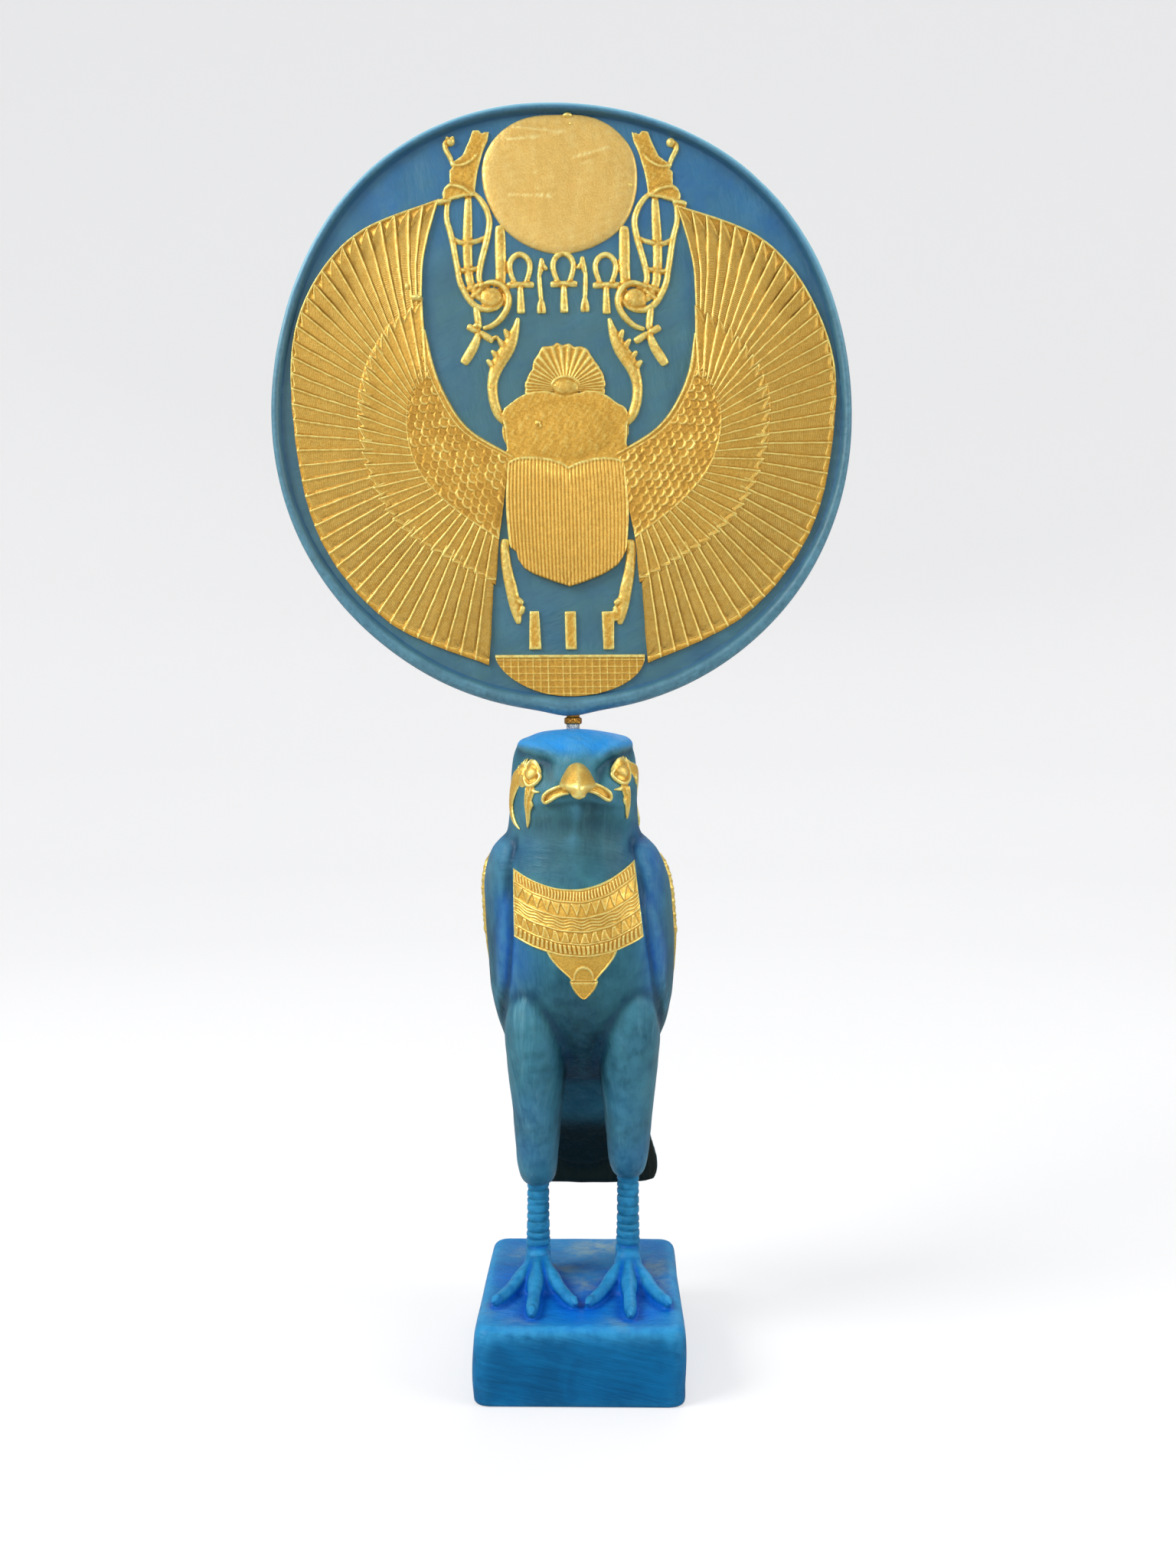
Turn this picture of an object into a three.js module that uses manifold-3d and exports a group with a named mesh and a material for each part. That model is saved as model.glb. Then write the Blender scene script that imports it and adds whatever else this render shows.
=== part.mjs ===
// A standing falcon on a block plinth, with a winged-scarab disc pinned on its head.
// Millimetres, +Z up. The falcon faces -Y. The origin is on the plinth's underside, at its middle.
import * as THREE from 'three';
import { mergeVertices } from 'three/addons/utils/BufferGeometryUtils.js';
import Module from 'manifold-3d';

const wasm = await Module();
wasm.setup();

// Plinth
const PLINTH_WIDTH = 79.6;
const PLINTH_DEPTH = 102;
const PLINTH_HEIGHT = 29;
const PLINTH_CORNER = 6;
const PLINTH_EDGE = 2.6;

// Falcon, measured up from the plinth's top
const BIRD_HEIGHT = 221.5;
const LEG_SPREAD = 18.2;
const LEG_OFFSET = 0.5;
const LEG_BACK = 5;
const SHANK_RADIUS = 3.9;
const SHANK_LOW = 25;
const SHANK_HIGH = 70;
const SHANK_RINGS = 7;
const RING_RELIEF = 0.45;
const TAIL_OFFSET = 3;
const HEAD_LEAN = -3.4;
const HEAD_TURN = THREE.MathUtils.degToRad(4.5);

// Raised ornament on the chest
const COLLAR_RELIEF = 1.1;
const COLLAR_SINK = 2;

// Disc
const DISC_WIDTH = 230.6;
const DISC_HEIGHT = 240.2;
const DISC_DEPTH = 13;
const DISC_OFFSET = -1.4;
const WING_OFFSET = -0.7;
const DISC_LEAN = THREE.MathUtils.degToRad(1.5);
const RIM_WIDTH = 5.6;
const RIM_CREST = 3;
const RIM_EDGE = 2.6;
const RELIEF = 1.7;
const RELIEF_LOW = 1.0;
const RELIEF_SINK = 0.5;
const FEATHERS = 26;
const ELYTRA_FLUTES = 18;

// Pin
const PIN_RADIUS = 2.6;
const PIN_COLLAR_RADIUS = 3.5;
const PIN_COLLAR_HEIGHT = 3;
const PIN_SHOWING = 5;
const PIN_DEPTH_IN_HEAD = 12;
const PIN_DEPTH_IN_DISC = 14;
const BOSS_WALL = 1.2;
const BOSS_DROP = 1.7;
const CLEARANCE = 0.3;

const lerp = THREE.MathUtils.lerp;
const smoothstep = THREE.MathUtils.smoothstep;
const v2 = ([x, y]) => new THREE.Vector2(x, y);
const v3 = ([x, y, z]) => new THREE.Vector3(x, y, z);

// Solids from closed geometry

function solid(geometry) {
  const bare = geometry.clone();
  bare.deleteAttribute('normal');
  bare.deleteAttribute('uv');
  const whole = mergeVertices(bare, 1e-4);
  const spots = whole.attributes.position.array;
  const faces = [];
  let volume = 0;
  for (let i = 0; i < whole.index.count; i += 3) {
    const [a, b, c] = whole.index.array.slice(i, i + 3);
    if (a === b || b === c || c === a) continue;
    const [p, q, r] = [a, b, c].map((n) => new THREE.Vector3().fromArray(spots, 3 * n));
    volume += p.dot(q.cross(r));
    faces.push([a, b, c]);
  }
  const outward = volume < 0 ? faces.map(([a, b, c]) => [a, c, b]) : faces;
  const triVerts = new Uint32Array(outward.flat());
  return new wasm.Manifold(new wasm.Mesh({ numProp: 3, vertProperties: new Float32Array(spots), triVerts }));
}

const join = (solids) => solids.reduce((whole, next) => whole.add(next));

// Joins leave slivers shorter than a hair; their ends are brought together.
const SLIVER = 0.004;

function meshGeometry(body) {
  const mesh = body.getMesh();
  const geometry = new THREE.BufferGeometry();
  geometry.setAttribute('position', new THREE.BufferAttribute(new Float32Array(mesh.vertProperties), 3));
  geometry.setIndex(new THREE.BufferAttribute(new Uint32Array(mesh.triVerts), 1));
  return geometry;
}

// Moves every point of a geometry to where place puts it.
function moulded(geometry, place) {
  const spots = geometry.attributes.position;
  for (let i = 0; i < spots.count; i++) {
    spots.setXYZ(i, ...place(spots.getX(i), spots.getY(i), spots.getZ(i), i));
  }
  return geometry;
}

// A closed skin: place gives a point for an angle round it and a share of the way along it.
function skin(around, along, place) {
  const shell = new THREE.SphereGeometry(1, around, along);
  const uv = shell.attributes.uv;
  return solid(moulded(shell, (x, y, z, i) => place(uv.getX(i) * 2 * Math.PI, 1 - uv.getY(i))));
}

// Rows of numbers read as a smooth curve: share 0 is the first row and 1 the last.
function between(rows, share) {
  const place = THREE.MathUtils.clamp(share, 0, 1) * (rows.length - 1);
  const i = Math.min(Math.floor(place), rows.length - 2);
  const t = place - i;
  const row = (n) => rows[THREE.MathUtils.clamp(n, 0, rows.length - 1)];
  return rows[0].map((_, k) => {
    const [a, b, c, d] = [row(i - 1)[k], row(i)[k], row(i + 1)[k], row(i + 2)[k]];
    return b + 0.5 * t * (c - a + t * (2 * a - 5 * b + 4 * c - d + t * (3 * (b - c) + d - a)));
  });
}

// A form of level sections. Each row is: height, half width, front, back.
function stacked(rows, around, along, middle = 0, squareness = () => 2) {
  return skin(around, along, (angle, share) => {
    const [z, half, front, back] = between(rows, share);
    const [x, y] = sectionPoint(angle, half, front, back, squareness(z));
    return [x + middle, y, z];
  });
}

function sectionPoint(angle, half, front, back, squareness) {
  const power = (n) => Math.sign(n) * Math.abs(n) ** (2 / squareness);
  const deep = (back - front) / 2;
  return [half * power(Math.cos(angle)), (front + back) / 2 + deep * power(Math.sin(angle))];
}

// A limb along a line, with a half width and half height at each share, and rounded ends.
const UP = new THREE.Vector3(0, 0, 1);
const AHEAD = new THREE.Vector3(0, -1, 0);

function limb(points, size, around, along, roundness = 0.35, up = UP) {
  const line = new THREE.CatmullRomCurve3(points.map(v3));
  return skin(around, along, (angle, share) => {
    const ahead = line.getTangent(share);
    const side = new THREE.Vector3().crossVectors(ahead, up).normalize();
    const over = new THREE.Vector3().crossVectors(side, ahead);
    const cap = (4 * share * (1 - share)) ** roundness;
    const [wide, high] = size(share);
    return line.getPoint(share)
      .addScaledVector(side, cap * wide * Math.cos(angle))
      .addScaledVector(over, cap * high * Math.sin(angle))
      .toArray();
  });
}

// Plinth: a block with rounded corners and softened edges.
function roundedBlock() {
  const w = PLINTH_WIDTH / 2 - PLINTH_EDGE;
  const d = PLINTH_DEPTH / 2 - PLINTH_EDGE;
  const r = PLINTH_CORNER - PLINTH_EDGE;
  const outline = new THREE.Shape();
  outline.absarc(w - r, d - r, r, 0, Math.PI / 2);
  outline.absarc(r - w, d - r, r, Math.PI / 2, Math.PI);
  outline.absarc(r - w, r - d, r, Math.PI, 1.5 * Math.PI);
  outline.absarc(w - r, r - d, r, 1.5 * Math.PI, 2 * Math.PI);
  const block = new THREE.ExtrudeGeometry(outline, {
    depth: PLINTH_HEIGHT - 2 * PLINTH_EDGE,
    bevelThickness: PLINTH_EDGE,
    bevelSize: PLINTH_EDGE,
    bevelSegments: 2,
    curveSegments: 3,
  });
  return solid(block.translate(0, 0, PLINTH_EDGE));
}

// Falcon, as drawn on a plinth 26 high. It grows or shrinks from there to its set height.
const DRAWN_FLOOR = 26;
const DRAWN_TOP = 247.5;

// Head, neck and body in one
const BODY = [
  [DRAWN_TOP, 0, 0, 0], [246.9, 9, -9, 9], [244.8, 17, -17.5, 16], [241.2, 22, -23.5, 20.5],
  [235, 24.2, -28.5, 22.5], [226, 24.9, -30.5, 23.5], [217, 25.2, -29.6, 24.2],
  [209, 26, -27.6, 25], [200, 28, -28.4, 26], [188, 31.4, -31.6, 28.4],
  [175, 33.5, -34, 30], [160, 34.5, -34, 31], [145, 34.2, -30, 32], [132, 32.5, -23, 33],
  [121, 29.5, -14.5, 33], [113, 25, -5.5, 32], [106, 15, 6, 30], [104, 0, 18, 18],
];
const BEAK = [
  [235.6, 0, -26, -26], [234.4, 2.4, -31, -22], [231.4, 4.6, -36.4, -21], [228, 5.9, -40, -21],
  [225.4, 6.3, -41.6, -22], [223.6, 4.6, -42.2, -26], [222, 2.2, -42.2, -36], [220.8, 0, -41.2, -41.2],
];
const MANTLE = [
  [211, 0, 0, 0], [208, 22, -20, 20], [202, 31, -26, 26.5], [196, 34.6, -28, 29.5],
  [187, 37, -28, 32], [172, 37.8, -28, 34.5], [157, 37.6, -27, 37], [142, 36.6, -24, 39.5],
  [130, 34.5, -20, 42], [120, 31.4, -12, 44], [108, 29, -4, 46], [94, 26.6, 4, 48.5],
  [80, 23.5, 14, 50.5], [70, 19, 24, 51.5], [62, 10, 36, 51], [59, 0, 46, 46],
];
const MANTLE_EDGE = [
  [-11, 212], [-19, 198], [-22, 182], [-21, 160], [-16, 142], [-8, 127], [4, 113],
  [16, 99], [28, 84], [37, 72], [45, 56],
];
const THIGH = [
  [147, 0, -20, -20], [144, 8, -24.2, -4], [137, 12, -25.4, 8], [128, 12.8, -25, 13], [114, 11.8, -22, 14],
  [98, 10, -17.5, 12.5], [85, 8.9, -13.5, 12], [77, 8.2, -10.5, 12], [71, 6.9, -6.5, 11.5],
  [68, 4.6, -1.5, 9.5], [67.2, 0, 4.5, 4.5],
];
// How far below the table's lower end each thigh comes down: more at -X than at +X.
const THIGH_DROP = [4, 0.8];
const DROP_FROM = 112;
const DROP_TO = 72;
const TAIL = [
  [128, 0, 34, 34], [122, 19, 30, 38], [104, 21, 35, 43], [88, 23, 39.5, 47],
  [72, 26.2, 43, 50.5], [61, 29.2, 45, 52.5], [55, 29, 46, 53], [51, 25, 46.6, 53],
  [50, 0, 50, 50],
];

// The head is a little squarer across than the body.
const bodySquareness = (z) => lerp(2, 2.3, smoothstep(z, 195, 215));

function wings() {
  const mantle = stacked(MANTLE, 22, 14);
  const edge = new THREE.SplineCurve(MANTLE_EDGE.map(v2)).getPoints(16);
  const ahead = new THREE.Shape([...edge, v2([-80, 56]), v2([-80, 212])]);
  const cut = new THREE.ExtrudeGeometry(ahead, { depth: 120, bevelEnabled: false });
  // The outline is drawn as depth and height, and is stood up across the bird.
  moulded(cut, (y, z, x) => [x - 60, y, z]);
  return mantle.subtract(solid(cut));
}

function thigh(x, side) {
  const drop = THIGH_DROP[side < 0 ? 0 : 1];
  const rows = THIGH.map(([z, ...rest]) => [z - drop * (1 - smoothstep(z, DROP_TO, DROP_FROM)), ...rest]);
  return stacked(rows, 10, 8, x);
}

function shank(x) {
  const [low, high] = [SHANK_LOW, SHANK_HIGH];
  const profile = [v2([0, low])];
  const steps = 2 * SHANK_RINGS;
  for (let i = 0; i <= steps; i++) {
    const share = i / steps;
    const flare = 1.9 * (1 - share) ** 4;
    profile.push(v2([SHANK_RADIUS + flare + RING_RELIEF * (i % 2), lerp(low, high, share)]));
  }
  profile.push(v2([0, high]));
  const turned = new THREE.LatheGeometry(profile, 8);
  return solid(turned.rotateX(Math.PI / 2).translate(x, LEG_BACK, 0));
}

function foot(x, side) {
  const ankle = [x, LEG_BACK - 1, 33];
  const ends = [
    [x + side * 15.4, -31, 27.6], [x + side * 0.4, -42.5, 27.6], [x - side * 16.2, -30.5, 27.6],
    [x + side * 3, 21, 27.2],
  ];
  const thickness = (share) => [lerp(4, 2.2, share), lerp(4.4, 2.3, share)];
  return ends.map(([tx, ty, tz]) => limb(
    [ankle, [lerp(x, tx, 0.4), lerp(LEG_BACK, ty, 0.4), 28.6], [tx, ty, tz]], thickness, 6, 4,
  ));
}

// The body's level section at a height: half width, front and back.
function sectionAt(height) {
  let [low, high] = [0, 1];
  for (let i = 0; i < 24; i++) {
    const share = (low + high) / 2;
    if (between(BODY, share)[0] > height) low = share;
    else high = share;
  }
  return between(BODY, low).slice(1);
}

function chest(x, z) {
  const [half, front, back] = sectionAt(z);
  const deep = (back - front) / 2;
  return (front + back) / 2 - deep * Math.sqrt(Math.max(0, 1 - (x / half) ** 2));
}

// A plate that follows a front surface: spot gives x and z, height how far its face stands out.
function plate(across, down, spot, front, height, sink) {
  const box = new THREE.BoxGeometry(1, 1, 1, across, 1, down);
  return solid(moulded(box, (bx, by, bz) => {
    const [s, t] = [bx + 0.5, 0.5 - bz];
    const [x, z] = spot(s, t);
    return [x, front(x, z) + (by < 0 ? -height(s, t) : sink), z];
  }));
}

function collar() {
  const bands = 6;
  const spot = (s, t) => {
    const x = (2 * s - 1) * lerp(23.6, 24.8, t);
    const bow = (x / 24) ** 2;
    return [x, lerp(186.4 + 8 * bow, 161.2 + 6 * bow, t)];
  };
  const height = (s, t) => COLLAR_RELIEF * (Math.round(t * 2 * bands) % 2 ? 0.55 : 1);
  const main = plate(6, 2 * bands - 2, spot, chest, height, COLLAR_SINK);
  const hang = (s, t) => {
    const half = lerp(13, 3.4, t ** 0.75);
    return [1 + (2 * s - 1) * half, 163 - 12 * t];
  };
  const pendant = plate(4, 3, hang, chest, () => COLLAR_RELIEF, COLLAR_SINK);
  const tip = plate(4, 2, (s, t) => [1.4 + (2 * s - 1) * 5 * Math.sqrt(1 - 0.94 * t), 153 - 8.6 * t],
    chest, () => COLLAR_RELIEF + 0.5, COLLAR_SINK);
  return [main, pendant, tip];
}

// A point on the head, at a bearing to one side of straight ahead.
function onHead(side, bearing, z, out = 0) {
  const [half, front, back] = sectionAt(z);
  const angle = THREE.MathUtils.degToRad(bearing - 90);
  const [x, y] = sectionPoint(angle, half + out, front - out, back + out, bodySquareness(z));
  return [side * x, y, z];
}

// The beak, and the corners of the mouth that run back from it.
function beak() {
  const corners = [-1, 1].map((side) => limb(
    [[side * 2, -32, 222.6], onHead(side, 15, 221.4, 0.2), onHead(side, 27, 219.4, 0.2)],
    () => [1.5, 1.5], 6, 4, 0.2,
  ));
  return [stacked(BEAK, 10, 8), ...corners];
}

// Eyeballs, brow ridges, and the painted marks that stand out a little below and behind the eyes.
function eyes() {
  return [-1, 1].flatMap((side) => [
    limb([onHead(side, 24, 230.6, -0.8), onHead(side, 39, 232, -0.8), onHead(side, 54, 231, -0.8)],
      () => [1.7, 4], 7, 5, 0.5),
    limb([onHead(side, 2, 234.6, -1.6), onHead(side, 24, 236.8, -0.9), onHead(side, 58, 240, -1.6)],
      () => [2.6, 1.9], 6, 5),
    limb([onHead(side, 44, 228, -0.4), onHead(side, 41, 218, 0.5), onHead(side, 39, 208.4, -0.2)],
      (share) => [lerp(2.1, 1.2, share), 1.3], 5, 4, 0.2, AHEAD),
    limb([onHead(side, 62, 235, -0.4), onHead(side, 74, 221, 0.6), onHead(side, 58, 207, -0.2)],
      (share) => [lerp(1.8, 1.2, share), 1.3], 5, 4, 0.2, AHEAD),
  ]);
}

// The stance: the neck leans and the head is turned a little.
function stance(x, y, z) {
  const turn = HEAD_TURN * smoothstep(z, 198, 214);
  const lean = HEAD_LEAN * smoothstep(z, 150, 215);
  return [x * Math.cos(turn) - y * Math.sin(turn) + lean, x * Math.sin(turn) + y * Math.cos(turn), z];
}

const growth = BIRD_HEIGHT / (DRAWN_TOP - DRAWN_FLOOR);

function grown(x, y, z) {
  return [x * growth, y * growth, PLINTH_HEIGHT + (z - DRAWN_FLOOR) * growth];
}

const headTop = PLINTH_HEIGHT + BIRD_HEIGHT;
const pinX = HEAD_LEAN * growth;

function falcon() {
  const legs = [-1, 1].flatMap((side) => {
    const x = LEG_OFFSET + side * LEG_SPREAD;
    return [thigh(x, side), shank(x), ...foot(x, side)];
  });
  const bird = join([
    stacked(BODY, 20, 19, 0, bodySquareness), wings(), stacked(TAIL, 10, 7, TAIL_OFFSET, () => 3),
    ...legs, ...collar(), ...beak(), ...eyes(),
  ]);
  const posed = moulded(meshGeometry(bird), (x, y, z) => grown(...stance(x, y, z)));
  const hole = rod(PIN_RADIUS + CLEARANCE, headTop - PIN_DEPTH_IN_HEAD - CLEARANCE, headTop + 5);
  return roundedBlock().add(solid(posed)).subtract(solid(hole.translate(pinX, 0, 0)));
}

function rod(radius, low, high) {
  const profile = [[0, low], [radius, low], [radius, high], [0, high]].map(v2);
  return new THREE.LatheGeometry(profile, 12).rotateX(Math.PI / 2);
}

// Disc, drawn upright about its own centre
const discTip = -(DISC_HEIGHT / 2 + BOSS_DROP);
const fieldY = -DISC_DEPTH / 2 + RIM_CREST;

// The cast outline swells and falls in round a true oval: swells in a turn, and how far, as cosine and sine.
const DISC_SWELLS = [[2, 0, -0.83], [4, -0.6, 0.36], [5, -0.2, -0.4]];

function discOutline(angle) {
  const [a, b] = [DISC_WIDTH / 2, DISC_HEIGHT / 2];
  let reach = 1 / Math.hypot(Math.cos(angle) / a, Math.sin(angle) / b);
  for (const [turns, c, s] of DISC_SWELLS) {
    reach += c * Math.cos(turns * angle) + s * Math.sin(turns * angle);
  }
  return reach;
}

function board() {
  const radius = DISC_WIDTH / 2;
  const back = DISC_DEPTH / 2;
  const profile = [
    [0, -fieldY], [radius - RIM_WIDTH, -fieldY], [radius - 0.55 * RIM_WIDTH, back],
    [radius - 0.5, back - RIM_EDGE], [radius, 0], [radius - RIM_EDGE, -back], [0, -back],
  ];
  const turned = new THREE.LatheGeometry(profile.map(v2).reverse(), 54).rotateX(Math.PI / 2);
  return solid(moulded(turned, (x, y, z) => {
    const r = Math.hypot(x, y);
    const angle = Math.atan2(y, x);
    const reach = r < radius / 2 ? r : r + discOutline(angle) - radius;
    return [DISC_OFFSET + reach * Math.cos(angle), -z, reach * Math.sin(angle)];
  }));
}

// A flat raised figure on the field. Figures are drawn on a disc a little larger than the cast one.
const DRAWN_DISC = [233, 243.6];
const DRAWING_SHIFT = [0.4, -1.1];

function raised(outline, height = RELIEF) {
  const figure = new THREE.ExtrudeGeometry(outline, {
    depth: height + RELIEF_SINK, bevelEnabled: false, curveSegments: 8,
  });
  return solid(figure.rotateX(Math.PI / 2).translate(0, fieldY + RELIEF_SINK, 0));
}

const mirrored = (points, side) => points.map(([x, z]) => [side * x, z]);

// A strip of even or changing width along a smooth line.
function strip(points, width, steps = 4) {
  const line = new THREE.SplineCurve(points.map(v2));
  const [left, right] = [[], []];
  for (let i = 0; i <= steps; i++) {
    const share = i / steps;
    const spot = line.getPoint(share);
    const ahead = line.getTangent(share);
    const half = (typeof width === 'function' ? width(share) : width) / 2;
    left.push(new THREE.Vector2(spot.x - half * ahead.y, spot.y + half * ahead.x));
    right.unshift(new THREE.Vector2(spot.x + half * ahead.y, spot.y - half * ahead.x));
  }
  return new THREE.Shape([...left, ...right]);
}

// Overlapping blades in rows. A row is a line, and the heights of a blade's low and high side on it.
function blades(rows, count) {
  const box = new THREE.BoxGeometry(1, 1, 1, 2 * count, 1, rows.length - 1);
  return solid(moulded(box, (bx, by, bz) => {
    const column = Math.round((bx + 0.5) * 2 * count);
    const rising = column % 2;
    const [line, low, high] = rows[Math.round((0.5 - bz) * (rows.length - 1))];
    const spot = line((column / 2 + (rising ? 0.42 : 0)) / count);
    const face = fieldY - (rising ? high : low);
    return [spot.x, by < 0 ? face : fieldY + RELIEF_SINK, spot.y];
  }));
}

const curveOf = (points) => {
  const line = new THREE.SplineCurve(points.map(v2));
  return (share) => line.getPointAt(THREE.MathUtils.clamp(share, 0, 1));
};

const WING_RIM = [
  [-46.3, 83.5], [-82.3, 69], [-103.3, 41], [-107.3, 2], [-98.3, -47], [-71.3, -82.5], [-31.3, -101],
];
const WING_EDGE = [[-48, 83.5], [-55.3, 45], [-54, 27], [-49, 9], [-38.7, -7.5], [-23, -18]];
const WING_MIDDLE = [[-55.5, 45], [-69.3, 34], [-80.5, 10], [-78.5, -22], [-63, -48], [-30, -69]];
const WING_ROOT = [[-55, 24], [-59.5, 8], [-62, -4], [-55, -27], [-44, -38.5], [-25, -51]];

// One wing: small scales along the leading edge, then coverts, then the long primaries.
function wingRelief(side) {
  const line = (points) => curveOf(mirrored(points, side).map(([x, z]) => [x + WING_OFFSET, z]));
  const [rim, middle, root, edge] = [WING_RIM, WING_MIDDLE, WING_ROOT, WING_EDGE].map(line);
  const inner = (share) => edge(lerp(0.53, 1, share));
  const past = (near, far) => (share) => near(share).lerp(far(share), 0.02);
  const step = 0.35;
  return blades([
    [inner, RELIEF + 2 * step, RELIEF + 2 * step],
    [root, RELIEF + 2 * step, RELIEF + 2 * step],
    [past(root, middle), RELIEF_LOW + step, RELIEF + step],
    [middle, RELIEF_LOW + step, RELIEF + step],
    [past(middle, rim), RELIEF_LOW, RELIEF],
    [rim, RELIEF_LOW, RELIEF],
  ], FEATHERS);
}

function ankh(x, z, scale, tilt = 0) {
  const turned = (points) => points.map(([px, pz]) => [
    x + scale * (px * Math.cos(tilt) - pz * Math.sin(tilt)),
    z + scale * (px * Math.sin(tilt) + pz * Math.cos(tilt)),
  ]);
  const loop = [];
  for (let i = 0; i < 10; i++) {
    const angle = (i / 10) * 2 * Math.PI;
    loop.push([Math.sin(angle) * (1 - 0.3 * Math.cos(angle)), -Math.cos(angle) - 0.1]);
  }
  const ring = new THREE.Shape(turned(loop.map(([a, b]) => [4.6 * a, 7.2 + 7 * b])).map(v2));
  ring.holes.push(new THREE.Path(turned(loop.map(([a, b]) => [3.1 * a, 7.2 + 5.3 * b])).map(v2)));
  return [
    raised(ring),
    raised(strip(turned([[-6, 0], [6, 0]]), 2 * scale, 1)),
    raised(strip(turned([[0, 0.6], [0, -11.8]]), (share) => scale * lerp(2, 3.2, share), 1)),
  ];
}

function sceptre(x, side) {
  return [
    raised(strip([[x, 61], [x, 39]], (share) => lerp(1.6, 2.8, share ** 3), 3)),
    raised(strip([[x - side * 0.4, 61.5], [x + side * 3.4, 56.4]], 1.8, 1)),
  ];
}

function uraeus(side) {
  const drawn = (points) => mirrored(points, side);
  const crown = new THREE.Shape(drawn([
    [-43.6, 90], [-43.4, 100], [-38, 99.6], [-33, 111.4], [-28.3, 110.6], [-32.6, 87], [-38, 84],
  ]).map(v2));
  const brow = new THREE.Shape(drawn([
    [-46.6, 90.6], [-41, 92], [-33, 86], [-32, 82.6], [-38, 84.6], [-45.6, 85.4],
  ]).map(v2));
  return [
    raised(crown),
    raised(brow, RELIEF + 0.3),
    raised(strip(drawn([[-42, 99], [-44.6, 104], [-42.6, 107.4]]), 1.7, 3)),
    raised(strip(drawn([[-40, 86], [-39, 62], [-35, 50]]), 2.6, 3)),
    raised(strip(drawn([[-38, 85], [-46, 78], [-45, 70], [-41, 54], [-34, 45]]), 1.9, 6)),
    raised(strip(drawn([[-36, 85], [-29.6, 78], [-30, 70], [-34, 54], [-31, 47]]), 1.9, 6)),
    raised(strip(drawn([[-43.4, 67.6], [-38.4, 66], [-31.6, 68]]), 1.7, 2)),
    raised(strip(drawn([[-40.8, 55.6], [-37, 55], [-33.6, 56]]), 1.5, 1)),
    raised(strip(drawn([[-34.6, 45], [-29, 42.4], [-26.6, 46.8]]), 6, 3), RELIEF + 0.2),
    raised(strip(drawn([[-26, 49], [-24.4, 60], [-25.2, 75]]), 3.8, 2)),
    raised(strip(drawn([[-26, 49.6], [-22.2, 43], [-26, 34], [-32.6, 31]]), 2.2, 5)),
    raised(strip(drawn([[-36.2, 41], [-35.6, 31.6]]), 2.2, 1)),
    raised(strip(drawn([[-39, 29.6], [-30.6, 30.8]]), 2.4, 1)),
    raised(strip(drawn([[-35.2, 31.4], [-41.2, 19.4]]), (share) => lerp(2, 4.2, share), 1)),
  ];
}

function scarab() {
  const arc = (x, z, rx, rz, from, to) => (share) => {
    const angle = lerp(from, to, share);
    return new THREE.Vector2(x + rx * Math.cos(angle), z + rz * Math.sin(angle));
  };
  const fanRays = 12;
  const head = blades([
    [arc(0, 9, 4, 1.6, Math.PI, 0), RELIEF_LOW, RELIEF], [arc(0, 8.4, 16.4, 18.4, Math.PI, 0), RELIEF_LOW, RELIEF],
  ], fanRays);
  const oval = raised(new THREE.Shape(new THREE.EllipseCurve(0, 9.2, 6.2, 3.8).getPoints(14)), RELIEF + 0.6);
  const thorax = new THREE.Shape([
    [-23.4, -19.6], [-24.4, -4], [-24, 1], [-20, 5.6], [-10, 7.6], [10, 7.6], [20, 5.6],
    [24, 1], [24.4, -4], [23.4, -19.6],
  ].map(v2));
  const top = (share) => new THREE.Vector2(lerp(-23.6, 23.6, share), -20.4 - 2.4 * (1 - Math.abs(2 * share - 1)) ** 6);
  const point = (share) => {
    const across = Math.abs(2 * share - 1);
    return new THREE.Vector2(lerp(-23.2, 23.2, share), -69.8 + 7 * across + 12 * across ** 5);
  };
  const legs = [-1, 1].flatMap((side) => [
    raised(strip(mirrored([[-24, -6], [-27.4, 0], [-30, 12], [-26.4, 25], [-18.4, 38]], side), 5, 6)),
    raised(strip(mirrored([[-26, -48], [-26, -66], [-19.6, -83.5]], side), 4, 3)),
  ]);
  const back = blades([[top, RELIEF, RELIEF + 0.5], [point, RELIEF, RELIEF + 0.5]], ELYTRA_FLUTES);
  return [head, oval, raised(thorax, RELIEF + 0.3), back, ...legs];
}

function basket() {
  const bowl = new THREE.EllipseCurve(0, -98.6, 30.2, 15.8, Math.PI, 2 * Math.PI);
  return raised(new THREE.Shape(bowl.getPoints(16)), RELIEF - 0.2);
}

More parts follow.
